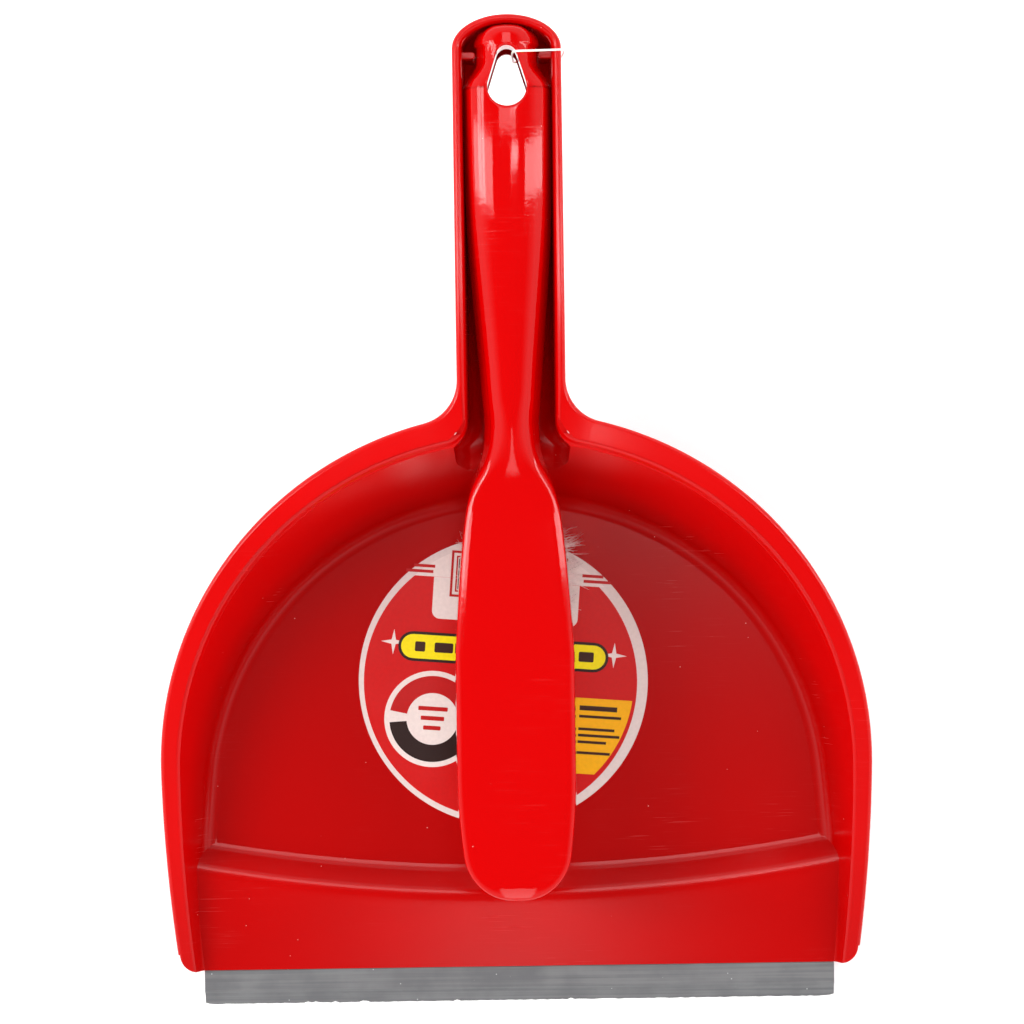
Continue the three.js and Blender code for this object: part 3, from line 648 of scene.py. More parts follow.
def moulded_polypropylene(name, face, deep, gloss):
    """Polypropylene injection moulded in a polished tool: a saturated, glossy body colour.

    Slow swirls in the pigment, painted shade that deepens the red on the low parts, a faint orange peel
    that softens reflections, long light scuffs from sweeping that catch the light, and a few specks of
    dust.
    """
    material, tree, place = new_material(name)
    swirl = add(tree, "TexNoise", {"Vector": place, "Scale": per_metre(0.05), "Detail": 3.0})
    pigment = add(tree, "MapRange", {"Value": swirl.outputs["Fac"], "From Min": 0.35, "From Max": 0.68})
    # Painted shade: from 20 mm high down to 2 mm the colour runs into the deeper red, so the floor of the
    # bowl is darkened as if shaded.
    height = add(tree, "SeparateXYZ", {"Vector": place})
    painted_floor_shade = add(
        tree,
        "MapRange",
        {"Value": height.outputs["Z"], "From Min": 0.002, "From Max": 0.02, "To Min": 1.0, "To Max": 0.0},
    )
    swirled = add(tree, "Math", {0: pigment.outputs["Result"], 1: 0.25}, operation="MULTIPLY")
    swirl_and_painted_shade = add(
        tree,
        "Math",
        {0: painted_floor_shade.outputs["Result"], 1: swirled.outputs["Value"]},
        operation="ADD",
        use_clamp=True,
    )
    # The deep red serves both the pigment swirls and the painted shade.
    body = add(
        tree,
        "Mix",
        {"Factor": swirl_and_painted_shade.outputs["Value"], "A": linear(face), "B": linear(deep)},
        data_type="RGBA",
    )
    # Scuffs 0.5 mm wide and some 15 mm long, coarser than real ones so that they show.
    drawn = add(tree, "Mapping", {"Vector": place, "Scale": (66.0, 2000.0, 66.0)})
    stroke = add(tree, "TexNoise", {"Vector": drawn.outputs["Vector"], "Scale": 1.0, "Detail": 2.0})
    patch = add(tree, "TexNoise", {"Vector": place, "Scale": per_metre(0.04), "Detail": 1.0})
    worn = add(tree, "MapRange", {"Value": patch.outputs["Fac"], "From Min": 0.5, "From Max": 0.7})
    line = add(tree, "MapRange", {"Value": stroke.outputs["Fac"], "From Min": 0.6, "From Max": 0.75})
    scuff = add(
        tree,
        "Math",
        {0: worn.outputs["Result"], 1: line.outputs["Result"]},
        operation="MULTIPLY",
    )
    share = add(tree, "Math", {0: scuff.outputs["Value"], 1: 0.14}, operation="MULTIPLY")
    scuffed = add(
        tree,
        "Mix",
        {"Factor": share.outputs["Value"], "A": body.outputs["Result"], "B": linear("#D94A48")},
        data_type="RGBA",
    )
    # Dust specks about 0.3 mm across, one to each 7 mm of surface.
    dust = add(tree, "TexVoronoi", {"Vector": place, "Scale": per_metre(0.007)})
    speck = add(tree, "MapRange", {"Value": dust.outputs["Distance"], "From Min": 0.026, "From Max": 0.015})
    coloured = add(
        tree,
        "Mix",
        {"Factor": speck.outputs["Result"], "A": scuffed.outputs["Result"], "B": linear("#E8B4AC")},
        data_type="RGBA",
    )
    roughness = add(
        tree,
        "MapRange",
        {"Value": scuff.outputs["Value"], "To Min": gloss, "To Max": gloss + 0.15},
    )
    # Orange peel with lumps 1.5 mm across.
    peel = add(tree, "TexNoise", {"Vector": place, "Scale": per_metre(0.0015), "Detail": 1.0})
    bump = add(tree, "Bump", {"Height": peel.outputs["Fac"], "Strength": 0.1, "Distance": 0.0001})
    shader = add(
        tree,
        "BsdfPrincipled",
        {
            "Base Color": coloured.outputs["Result"],
            "Roughness": roughness.outputs["Result"],
            "Normal": bump.outputs["Normal"],
            "IOR": 1.49,
            "Specular IOR Level": 0.22,
        },
    )
    surface(tree, shader)
    return material


# Operators: the pan


class DUSTPAN_OT_pan(bpy.types.Operator):
    """Builds the moulded pan: bowl, ramp, rim and trough-shaped handle"""

    bl_idname = "dustpan.pan"
    bl_label = "Dust pan"

    def execute(self, context):
        shape = PanShape(context.scene.dust_pan_sizes)
        s = shape.sizes
        colours = colours_of(context)
        pan = shape.bowl_outside()
        wedge = combine(shape.ramp("wedge", 0, shape.front, 0, 0), shape.bowl_outside(), "INTERSECT")
        handle = shape.handle_outside()
        lugs = self.lugs(shape)
        combine(pan, handle, "UNION")
        combine(pan, shape.rim_flange(), "UNION")
        combine(pan, shape.bowl_inside(), "DIFFERENCE")
        combine(pan, shape.trough_inside(), "DIFFERENCE")
        combine(pan, shape.rim_rounding(), "DIFFERENCE")
        for lug in lugs:
            combine(pan, combine(lug, shape.handle_outside(), "INTERSECT"), "UNION")
        combine(pan, wedge, "UNION")
        hollow = shape.ramp("hollow", s.wall, shape.front + s.wall, -s.wall, -0.001)
        inset = 2 * (shape.front_flange + shape.taper + s.wall + s.front_rim * shape.lean)
        limit = shape.plate("limit", SET_WIDTH - inset, 0, shape.back, -0.002, s.crest)
        combine(pan, combine(hollow, limit, "INTERSECT"), "DIFFERENCE")
        combine(pan, shape.corner_tool(1), "DIFFERENCE")
        combine(pan, shape.corner_tool(-1), "DIFFERENCE")
        # The tongue that the rubber lip is pushed onto.
        tongue = shape.plate("tongue", 0.2078, shape.front - 0.006, shape.front + 0.001, 0.00105, 0.00205)
        combine(pan, tongue, "UNION")
        under_trough = shape.trough_floor - 0.007
        combine(pan, pear_tool(under_trough, s.handle_end + 0.01), "DIFFERENCE")
        smoothed(pan, 32)
        pan.name = "moulded_pan"
        red = moulded_polypropylene("glossy moulded polypropylene", colours.pan_red, colours.pan_deep_and_shade, 0.2)
        finished(pan, "pan", ["dust_pan"], red)
        return {"FINISHED"}

    def lugs(self, shape):
        """Two lugs that stand beside the middle of the brush's waist."""
        clearance, thickness, top = 0.00035, 0.0024, 0.057
        brush_end = SET_LENGTH - shape.sizes.strip - 0.0007
        lug_at = brush_end - CAP_LENGTH - WAIST_LENGTH / 2
        return [shape.lug(side, WAIST_HALF + clearance, thickness, lug_at, top) for side in (1, -1)]


def pear_tool(bottom, top, rounding=None):
    """A pear-shaped plug for the hanging hole. A rounding is the surface's height and a radius."""
    low, high = HOLE_WIDE, HOLE_NARROW
    low_y = SET_LENGTH - HOLE_FROM_END - HOLE_LENGTH + low
    high_y = SET_LENGTH - HOLE_FROM_END - high
    lean = math.asin((low - high) / (high_y - low_y))
    levels = [(bottom, 0, None)]
    if rounding:
        height, radius = rounding
        for i in range(9):
            angle = math.radians(80) * i / 8
            out = radius * (1 - math.cos(angle))
            levels.append((radius * math.sin(angle) - radius, out, height))
    levels.append((top, levels[-1][1], None))
    rings = []
    for z, out, height in levels:
        ring = []
        for i in range(33):
            angle = math.pi - lean + (math.pi + 2 * lean) * i / 32
            ring.append(((low + out) * math.cos(angle), low_y + (low + out) * math.sin(angle)))
        for i in range(17):
            angle = lean + (math.pi - 2 * lean) * i / 16
            ring.append(((high + out) * math.cos(angle), high_y + (high + out) * math.sin(angle)))
        rings.append([(x, along(y), z + (height(x, y) if height else 0)) for x, y in ring])
    return grown("pear_tool", rings)


# The brush's shape


def through(points, steps):
    """A smooth line through the points, each stretch cut into steps."""
    line = []
    for i in range(len(points) - 1):
        before = np.array(points[max(i - 1, 0)])
        start, stop = np.array(points[i]), np.array(points[i + 1])
        after = np.array(points[min(i + 2, len(points) - 1)])
        for k in range(steps):
            t = k / steps
            bend = (2 * before - 5 * start + 4 * stop - after) * t**2
            twist = (3 * start - before - 3 * stop + after) * t**3
            line.append(0.5 * (2 * start + (stop - before) * t + bend + twist))
    return line + [np.array(points[-1])]


class BrushShape:
    """Plan, heights and sections of the hand brush, worked out from its sizes."""

    tip_length = 0.040
    tip_round = 0.014
    head_back = 0.118
    side_lean = 0.0004
    handle_depth = 0.011
    wall = 0.0024
    handle_lean = 0.0019
    crown_height = 0.005
    first_tuft = 0.015
    row_pitch = 0.0065
    tuft_depth = 0.006
    tuft_radius = 0.002

    def __init__(self, sizes, pan):
        self.sizes = sizes
        self.pan = pan
        self.half = sizes.head_width / 2
        self.handle_half = pan.trough - 0.0004
        self.tip = BRUSH_BOX[0][1] - CAD_BOX[0][1] - 0.0003
        self.tip_end = self.tip + self.tip_length
        self.end = BRUSH_BOX[1][1] - CAD_BOX[0][1]
        self.top = BRUSH_BOX[1][2]
        self.neck = pan.back - 0.011
        self.waist_end = self.end - CAP_LENGTH
        self.waist_start = self.waist_end - WAIST_LENGTH
        self.bottom = sizes.head_height - sizes.head_thickness

    def plan(self):
        """Half widths along the head, neck and handle, as (from lip, half width)."""
        neck = self.sizes.neck_width / 2
        plan = []
        for i in range(28):
            share = 1 - math.cos(math.pi / 2 * (i + 0.4) / 28)
            from_tip = self.tip_length * share
            turned = 1 - min(from_tip, self.tip_round) / self.tip_round
            fullness = 0.8 + 0.2 * math.sin(math.pi / 2 * share)
            plan.append((self.tip + from_tip, self.half * fullness * (1 - turned**2) ** 0.4))
        plan += [(mix(self.tip_end, self.head_back, i / 6), self.half) for i in range(6)]
        grip_start, grip_widest = self.pan.back + 0.01, self.waist_start - 0.013
        side = [
            (self.head_back, self.half),
            (self.head_back + 0.029, self.half * 0.89),
            (self.neck - 0.016, self.half * 0.75),
            (self.neck - 0.004, neck * 1.14),
            (self.neck + 0.006, neck),
            (grip_start, neck * 1.12),
            (mix(grip_start, grip_widest, 0.55), mix(neck, self.handle_half, 0.88)),
            (grip_widest, self.handle_half - 0.00005),
            (grip_widest + 0.004, self.handle_half),
        ]
        for y, half in through(side, 9):
            plan.append((y, min(half, self.handle_half if y > self.pan.back else self.half)))
        for i in range(1, 11):
            y = mix(grip_widest + 0.004, self.waist_start, i / 10)
            plan.append((y, mix(self.handle_half, WAIST_HALF, smooth(i / 10, 0, 1))))
        plan.append((self.waist_end, WAIST_HALF))
        flange = 0.0008
        radius = CAP_LENGTH - flange
        for i in range(13):
            angle = math.pi / 2 * i / 12
            half = WAIST_HALF + flange - radius + radius * math.cos(angle)
            plan.append((self.end - radius + radius * math.sin(angle), half))
        return plan

    def half_at(self, y):
        line = self.plan()
        return float(np.interp(y, [p[0] for p in line], [p[1] for p in line]))

    def top_at(self, y):
        rise = self.top - self.sizes.head_height
        neck = 0.52 * rise * smooth(y, self.neck - 0.024, self.neck + 0.018)
        grip = 0.48 * rise * smooth(y, self.neck - 0.006, self.waist_start - 0.008)
        return self.sizes.head_height + neck + grip

    def bottom_at(self, y):
        high = self.top_at(y) - self.handle_depth
        return mix(self.bottom, high, smooth(y, self.neck - 0.02, self.neck + 0.006))

    def section(self, y, half, shrink=0.0, bottom=None):
        """One section: a flat underside, leaning sides and a crowned top with a crisp shoulder."""
        share = smooth(y, self.neck - 0.024, self.neck + 0.01)
        top = self.top_at(y) - shrink
        low = self.bottom_at(y) if bottom is None else bottom
        head_shoulder = self.sizes.head_height - 0.0034
        shoulder = mix(head_shoulder, top - self.crown_height, share) - shrink * (1 - share)
        near_tip = min(max((y - self.tip) / 0.008, 0.02), 1)
        near_end = min(max((self.end - y) / 0.004, 0.02), 1)
        squareness = 2.4
        rounding = (1 - (1 - near_tip) ** squareness) ** (1 / squareness)
        rounding *= (1 - (1 - near_end) ** squareness) ** (1 / squareness)
        top = shoulder + (top - shoulder) * max(rounding, 0.15)
        width = half - shrink
        lean = min(mix(self.side_lean, self.handle_lean, share), width * 0.3)
        power = mix(0.4, 1, share)
        edge = min(0.0005, width * 0.3)
        right = [(width - edge, low), (width, low + 0.0008)]
        for i in range(21):
            angle = math.pi / 2 * i / 20
            x = (width - lean) * max(math.cos(angle), 0) ** power
            right.append((x, shoulder + (top - shoulder) * math.sin(angle) ** power))
        right[-1] = (0.0, right[-1][1])
        ring = right + [(-x, z) for x, z in reversed(right[:-1])]
        return [(x, along(y), z) for x, z in ring]

    def crown(self, x, y):
        """Height of the handle's crowned top at a place."""
        half = self.half_at(y) - 0.0007
        fall = 1 - math.sqrt(max(1 - (x / half) ** 2, 0.05))
        return self.top_at(y) - self.crown_height * fall

    def tufts(self):
        """Where the tufts stand: even rows and, between them, rows shifted by half a pitch."""
        first, last = self.tip + self.first_tuft, self.neck - 0.031
        pitch = (last - first) / 10.5
        places = []
        for row in range(5):
            outer, shifted = row in (0, 4), row % 2 == 1
            start = 0.0 if shifted else 0.8 if outer else -0.5
            for i in range(10 if outer or shifted else 11):
                places.append(((row - 2) * self.row_pitch, first + pitch * (i + 0.5 + start)))
        return places

    def pockets(self):
        """The hollows under the handle, with a rib left between each two."""
        start = self.neck + 0.014
        end = SET_LENGTH - HOLE_FROM_END - HOLE_LENGTH - 2 * self.wall
        rib = 0.0024
        span = (end - start - 3 * rib) / 4
        hollows = []
        for i in range(4):
            first = start + i * (span + rib)
            rings = []
            for k in range(9):
                y = first + span * k / 8
                rings.append(self.section(y, self.half_at(y), self.wall, self.bottom_at(y) - 0.001))
            hollows.append(grown("pocket", rings))
        return joined(hollows, "pockets")


class DUSTPAN_OT_brush_body(bpy.types.Operator):
    """Builds the brush's head and handle, with its tuft holes, hollows and hanging hole"""

    bl_idname = "dustpan.brush_body"
    bl_label = "Brush body"

    def execute(self, context):
        scene = context.scene
        shape = BrushShape(scene.hand_brush_sizes, PanShape(scene.dust_pan_sizes))
        colours = colours_of(context)
        body = grown("moulded_brush_body", [shape.section(y, half) for y, half in shape.plan()])
        drills = []
        for x, y in shape.tufts():
            middle = (x, along(y), shape.bottom + shape.tuft_depth / 2 - 0.0005)
            deselect()
            radius, depth = shape.tuft_radius + 0.0003, shape.tuft_depth + 0.001
            bpy.ops.mesh.primitive_cylinder_add(vertices=16, radius=radius, depth=depth, location=middle)
            drills.append(bpy.context.object)
        combine(body, settled(joined(drills, "drills")), "DIFFERENCE")
        combine(body, shape.pockets(), "DIFFERENCE")
        hole = pear_tool(0.04, shape.top + 0.004, (shape.crown, 0.0011))
        combine(body, hole, "DIFFERENCE")
        smoothed(body, 35)
        name = "polished moulded polypropylene"
        red = moulded_polypropylene(name, colours.brush_red, colours.pan_red, 0.06)
        finished(body, "brush", ["brush_body"], red)
        return {"FINISHED"}


# Operators: bristles, lip and tie


class DUSTPAN_OT_bristles(bpy.types.Operator):
    """Plants the tufts, each a bunch of fine tapered bristles that splay and stray a little"""

    bl_idname = "dustpan.bristles"
    bl_label = "Bristle tufts"

    def execute(self, context):
        scene = context.scene
        sizes = scene.hand_brush_sizes
        shape = BrushShape(sizes, PanShape(scene.dust_pan_sizes))
        fibre = self.fibre(colours_of(context))
        chance = random.Random(7)
        for name, (x, y) in zip(TUFTS, shape.tufts()):
            finished(self.tuft(name, x, y, shape, chance), "brush", [name], fibre)
        return {"FINISHED"}

    def tuft(self, node, x, y, shape, chance):
        """Each bristle is a thin four-sided rod, bent outwards, swept from six rings of points."""
        sizes = shape.sizes
        top = shape.bottom + shape.tuft_depth - 0.0004
        points, faces = [], []
        back = smooth(y, 0.105, 0.150)
        right_side = 1 if x > 0.005 else 0
        for _ in range(sizes.bristles):
            turn, out = chance.uniform(0, 2 * math.pi), math.sqrt(chance.random())
            root = (x + 0.0019 * out * math.cos(turn), y + 0.0019 * out * math.sin(turn))
            spread = 0.0036 * out + chance.uniform(0, 0.0012)
            splay = turn + chance.gauss(0, 0.9)
            tip_x = x * 1.06 + 0.7 * spread * math.cos(splay) + chance.gauss(0, 0.0005)
            tip_y = y + 1.25 * spread * math.sin(splay) + chance.gauss(0, 0.0016)
            # Where the head meets the handle, the right rows are bent outwards by use.
            tip_x += right_side * back * chance.uniform(0.0, 0.0085)
            tip_x += (x > 0.01) * chance.uniform(0, 0.0012)
            tip_x -= (x < -0.01) * back * chance.uniform(0.0, 0.003)
            tip_z = STICKER_BOX[1][2] + chance.uniform(0.0009, 0.0034)
            bow = chance.gauss(0, 0.0008)
            swerve = chance.gauss(0, 0.0008)
            first = len(points)
            for k in range(6):
                t = k / 5
                reach = t**1.7
                cx = mix(root[0], tip_x, reach) + bow * math.sin(math.pi * t) * t
                cy = mix(root[1], tip_y, reach) + swerve * math.sin(math.pi * t) * t
                cz = mix(top, tip_z, t)
                radius = sizes.bristle / 2 * (1 - 0.55 * t**3)
                for corner in range(4):
                    a = math.pi / 2 * corner + turn
                    points.append((cx + radius * math.cos(a), along(cy) + radius * math.sin(a), cz))
            for k in range(5):
                for corner in range(4):
                    a = first + 4 * k + corner
                    b = first + 4 * k + (corner + 1) % 4
                    faces.append((a, a + 4, b + 4, b))
            faces.append(tuple(range(first, first + 4)))
            faces.append(tuple(reversed(range(first + 20, first + 24))))
        mesh = bpy.data.meshes.new(node + "_bristles")
        mesh.from_pydata(points, [], faces)
        made = bpy.data.objects.new(node + "_bristles", mesh)
        bpy.context.collection.objects.link(made)
        mesh.shade_smooth()
        return made

    def fibre(self, colours):
        """Drawn polyester monofilament: milky and slightly clear, so a tuft glows where light enters it."""
        material, tree, place = new_material("drawn polyester monofilament")
        # Colour differs from bristle to bristle, about 0.6 mm apart.
        differ = add(tree, "TexNoise", {"Vector": place, "Scale": per_metre(0.0006), "Detail": 1.0})
        # Both tones are pinkish white; the pink is painted red bounce light from the pan.
        tone = add(
            tree,
            "Mix",
            {"Factor": differ.outputs["Fac"], "A": linear(colours.bristle), "B": linear("#FFF6F4")},
            data_type="RGBA",
        )
        gloss = add(tree, "MapRange", {"Value": differ.outputs["Fac"], "To Min": 0.3, "To Max": 0.5})
        shader = add(
            tree,
            "BsdfPrincipled",
            {
                "Base Color": tone.outputs["Result"],
                "Roughness": gloss.outputs["Result"],
                "IOR": 1.57,
                "Subsurface Weight": 0.35,
                "Subsurface Scale": 0.001,
                "Subsurface Radius": (1.0, 0.8, 0.75),
            },
        )
        surface(tree, shader)
        return material


class DUSTPAN_OT_lip(bpy.types.Operator):
    """Builds the soft lip that seals the pan's front edge against the ground"""

    bl_idname = "dustpan.lip"
    bl_label = "Rubber lip"

    def execute(self, context):
        low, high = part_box("rubber_lip")
        back = high[1] - CAD_BOX[0][1]
        height, middle, groove = high[2], 0.00155, 0.0008
        deep = back - 0.006
        chance = random.Random(3)
        rings = []
        for i in range(161):
            x = mix(low[0], high[0], i / 160)
            nick = chance.uniform(0, 0.00022) + (0.0004 if chance.random() > 0.96 else 0)
            from_end = min(i, 160 - i)
            front = nick + (0.0005, 0.00015, 0)[min(from_end, 2)]
            section = [(front + 0.0004, 0), (back, 0), (back, middle - groove), (deep, middle - groove)]
            section += [(deep, middle + groove), (back, middle + groove), (back, height - 0.0003)]
            section += [(back - 0.0003, height), (deep - 0.001, height - 0.0002)]
            section += [(0.0035, 0.00135), (front + 0.0006, 0.00075)]
            section += [(front + 0.0001, 0.00055), (front, 0.00035)]
            rings.append([(x, along(y), z) for y, z in section])
        lip = grown("rubber_lip_strip", rings)
        smoothed(lip, 40)
        finished(lip, "pan", ["rubber_lip"], self.rubber(colours_of(context)))
        return {"FINISHED"}

    def rubber(self, colours):
        """Extruded thermoplastic rubber: matt mid grey with pale grit bedded in its skin."""
        material, tree, place = new_material("extruded grey rubber")
        # Extrusion lines run along the strip, 0.8 mm apart.
        drawn = add(tree, "Mapping", {"Vector": place, "Scale": (14.0, 1250.0, 300.0)})
        lines = add(tree, "TexNoise", {"Vector": drawn.outputs["Vector"], "Scale": 1.0, "Detail": 2.0})
        cloud = add(tree, "TexNoise", {"Vector": place, "Scale": per_metre(0.012), "Detail": 3.0})
        blend = add(tree, "Math", {0: lines.outputs["Fac"], 1: cloud.outputs["Fac"]}, operation="MULTIPLY")
        tone = add(tree, "MapRange", {"Value": blend.outputs["Value"], "From Min": 0.15, "From Max": 0.35})
        body = add(
            tree,
            "Mix",
            {"Factor": tone.outputs["Result"], "A": linear("#5F5F61"), "B": linear(colours.lip_grey)},
            data_type="RGBA",
        )
        # Grit 0.4 mm across, one grain to each 4 mm.
        grit = add(tree, "TexVoronoi", {"Vector": place, "Scale": per_metre(0.004)})
        near = grit.outputs["Distance"]
        grain = add(tree, "MapRange", {"Value": near, "From Min": 0.06, "From Max": 0.035})
        specked = add(
            tree,
            "Mix",
            {"Factor": grain.outputs["Result"], "A": body.outputs["Result"], "B": linear("#B9B9BA")},
            data_type="RGBA",
        )
        dull = add(tree, "MapRange", {"Value": cloud.outputs["Fac"], "To Min": 0.5, "To Max": 0.75})
        bump = add(tree, "Bump", {"Height": lines.outputs["Fac"], "Strength": 0.25, "Distance": 0.0001})
        shader = add(
            tree,
            "BsdfPrincipled",
            {
                "Base Color": specked.outputs["Result"],
                "Roughness": dull.outputs["Result"],
                "Normal": bump.outputs["Normal"],
                "IOR": 1.52,
                "Specular IOR Level": 0.3,
            },
        )
        surface(tree, shader)
        return material


class DUSTPAN_OT_tie(bpy.types.Operator):
    """Builds the nylon tie that holds the two handles together, and its lock"""

    bl_idname = "dustpan.tie"
    bl_label = "Nylon tie"

    def execute(self, context):
        scene = context.scene
        pan = PanShape(scene.dust_pan_sizes)
        brush = BrushShape(scene.hand_brush_sizes, pan)
        diameter, gap = 0.0007, 0.0005
        at = SET_LENGTH - HOLE_FROM_END - 0.0022
        over = gap + diameter / 2
        hole = HOLE_NARROW - diameter - gap
        edge = pan.across + over
        rim, top = pan.rim(at), brush.top_at(at) + over - 0.0004
        under = pan.floor_at(at) - pan.sizes.wall - over
        lock = pan.trough * 0.55
        route = [
            (lock, 0, under),
            (hole + 0.001, 0, under),
            (hole + 0.00015, 0, under + 0.00035),
            (hole, 0, under + 0.0012),
            (hole - 0.0003, 0, mix(under, top, 0.5)),
            (hole, 0, top - 0.0012),
            (hole + 0.0018, 0.0001, top + 0.0002),
            (WAIST_HALF, 0.0004, mix(top, rim + over, 0.45)),
            (edge - 0.0009, 0.0008, rim + over + 0.0001),
            (edge, 0.0009, rim - over),
            (edge, 0.0008, mix(rim, under, 0.45)),
            (pan.across - 0.0006, 0.0005, under + 0.0035),
            (pan.trough - 0.0022, 0.0002, under - 0.0001),
            (lock, 0, under),
        ]
        path = [(x, along(at + shift), z) for x, shift, z in through(route, 7)]
        rings = []
        for i, place in enumerate(path):
            ahead = Vector(path[min(i + 1, len(path) - 1)]) - Vector(path[max(i - 1, 0)])
            side = Vector((0, 1, 0)).cross(ahead).normalized()
            rise = ahead.normalized().cross(side)
            ring = []
            for k in range(10):
                angle = 2 * math.pi * k / 10
                off = side * math.cos(angle) + rise * math.sin(angle)
                ring.append(Vector(place) + off * diameter / 2)
            rings.append(ring)
        strand = grown("tie_strand", rings)
        deselect()
        size = (0.0042, 0.003, 0.002)
        middle = (lock, along(at), under - size[2] / 2 + diameter / 2)
        bpy.ops.mesh.primitive_cube_add(size=1, location=middle, scale=size)
        head = settled(bpy.context.object)
        bpy.ops.object.mode_set(mode="EDIT")
        bpy.ops.mesh.select_all(action="SELECT")
        bpy.ops.mesh.bevel(offset=0.0004, segments=3)
        bpy.ops.object.mode_set(mode="OBJECT")
        tie = smoothed(joined([strand, head], "nylon_tie_loop"), 40)
        finished(tie, "pan", ["nylon_tie"], self.nylon())
        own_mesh(tie)
        return {"FINISHED"}

    def nylon(self):
        """Natural nylon, moulded in one shot: milky white, waxy and a little see-through."""
        material, tree, place = new_material("natural moulded nylon")
        cloud = add(tree, "TexNoise", {"Vector": place, "Scale": per_metre(0.002), "Detail": 2.0})
        tone = add(
            tree,
            "Mix",
            {"Factor": cloud.outputs["Fac"], "A": linear("#E9E6DF"), "B": linear("#FFFFFC")},
            data_type="RGBA",
        )
        gloss = add(tree, "MapRange", {"Value": cloud.outputs["Fac"], "To Min": 0.28, "To Max": 0.45})
        shader = add(
            tree,
            "BsdfPrincipled",
            {
                "Base Color": tone.outputs["Result"],
                "Roughness": gloss.outputs["Result"],
                "IOR": 1.53,
                "Subsurface Weight": 0.3,
                "Subsurface Scale": 0.001,
            },
        )
        surface(tree, shader)
        return material


# Operator: the sticker


def tilted(x, y, turn):
    return x * math.cos(turn) - y * math.sin(turn), x * math.sin(turn) + y * math.cos(turn)


class Sheet:
    """One ink layer of the sticker, built flat about the sticker's middle."""

    def __init__(self, low, high):
        self.low, self.high = low, high
        self.parts = []

    def raised(self, made):
        """Gives a flat face its thickness."""
        bpy.ops.object.mode_set(mode="EDIT")
        bpy.ops.mesh.select_all(action="SELECT")
        bpy.ops.mesh.extrude_region_move(TRANSFORM_OT_translate={"value": (0, 0, self.high - self.low)})
        bpy.ops.mesh.select_all(action="SELECT")
        bpy.ops.mesh.normals_make_consistent(inside=False)
        bpy.ops.object.mode_set(mode="OBJECT")
        self.parts.append(settled(made))

    def disc(self, x, y, radius, corners=96):
        deselect()
        place = (x, y, self.low)
        bpy.ops.mesh.primitive_circle_add(vertices=corners, radius=radius, fill_type="NGON", location=place)
        self.raised(bpy.context.object)

    def outline(self, points):
        """A filled shape with any outline."""
        deselect()
        bpy.ops.mesh.primitive_circle_add(vertices=len(points), fill_type="NGON", location=(0, 0, self.low))
        made = bpy.context.object
        bpy.ops.object.mode_set(mode="EDIT")
        bpy.ops.mesh.select_mode(type="FACE")
        bpy.ops.mesh.select_all(action="SELECT")
        shape_face(made, [(x, y, 0) for x, y in points])
        bpy.ops.object.mode_set(mode="OBJECT")
        self.raised(made)

    def ring(self, x, y, outer, inner, start=0.0, stop=360.0, corners=96):
        """A band, or part of one between two angles in degrees."""
        angles = [math.radians(mix(start, stop, i / corners)) for i in range(corners + 1)]
        points = [(x + outer * math.cos(a), y + outer * math.sin(a)) for a in angles]
        points += [(x + inner * math.cos(a), y + inner * math.sin(a)) for a in reversed(angles)]
        self.outline(points)

    def box(self, x, y, width, height, corner=0.0, turn=0.0):
        """A rectangle with round corners, turned about its own middle."""
        points = []
        corner = max(corner, 0.00002)
        for cx, cy, first in ((1, 1, 0), (-1, 1, 90), (-1, -1, 180), (1, -1, 270)):
            for i in range(7):
                a = math.radians(first + 15 * i)
                px = cx * (width / 2 - corner) + corner * math.cos(a)
                py = cy * (height / 2 - corner) + corner * math.sin(a)
                px, py = tilted(px, py, turn)
                points.append((x + px, y + py))
        self.outline(points)

    def done(self, name, material, nodes=()):
        """Joins the layer, turns it and lays it on the pan's floor, a little askew."""
        low, high = STICKER_BOX
        layer = joined(self.parts, name)
        layer.rotation_euler = (0, 0, -math.radians(4.5))
        layer.location = ((low[0] + high[0]) / 2, (low[1] + high[1]) / 2, 0)
        settled(layer)
        smoothed(layer, 30)
        return finished(layer, "pan", nodes, material)


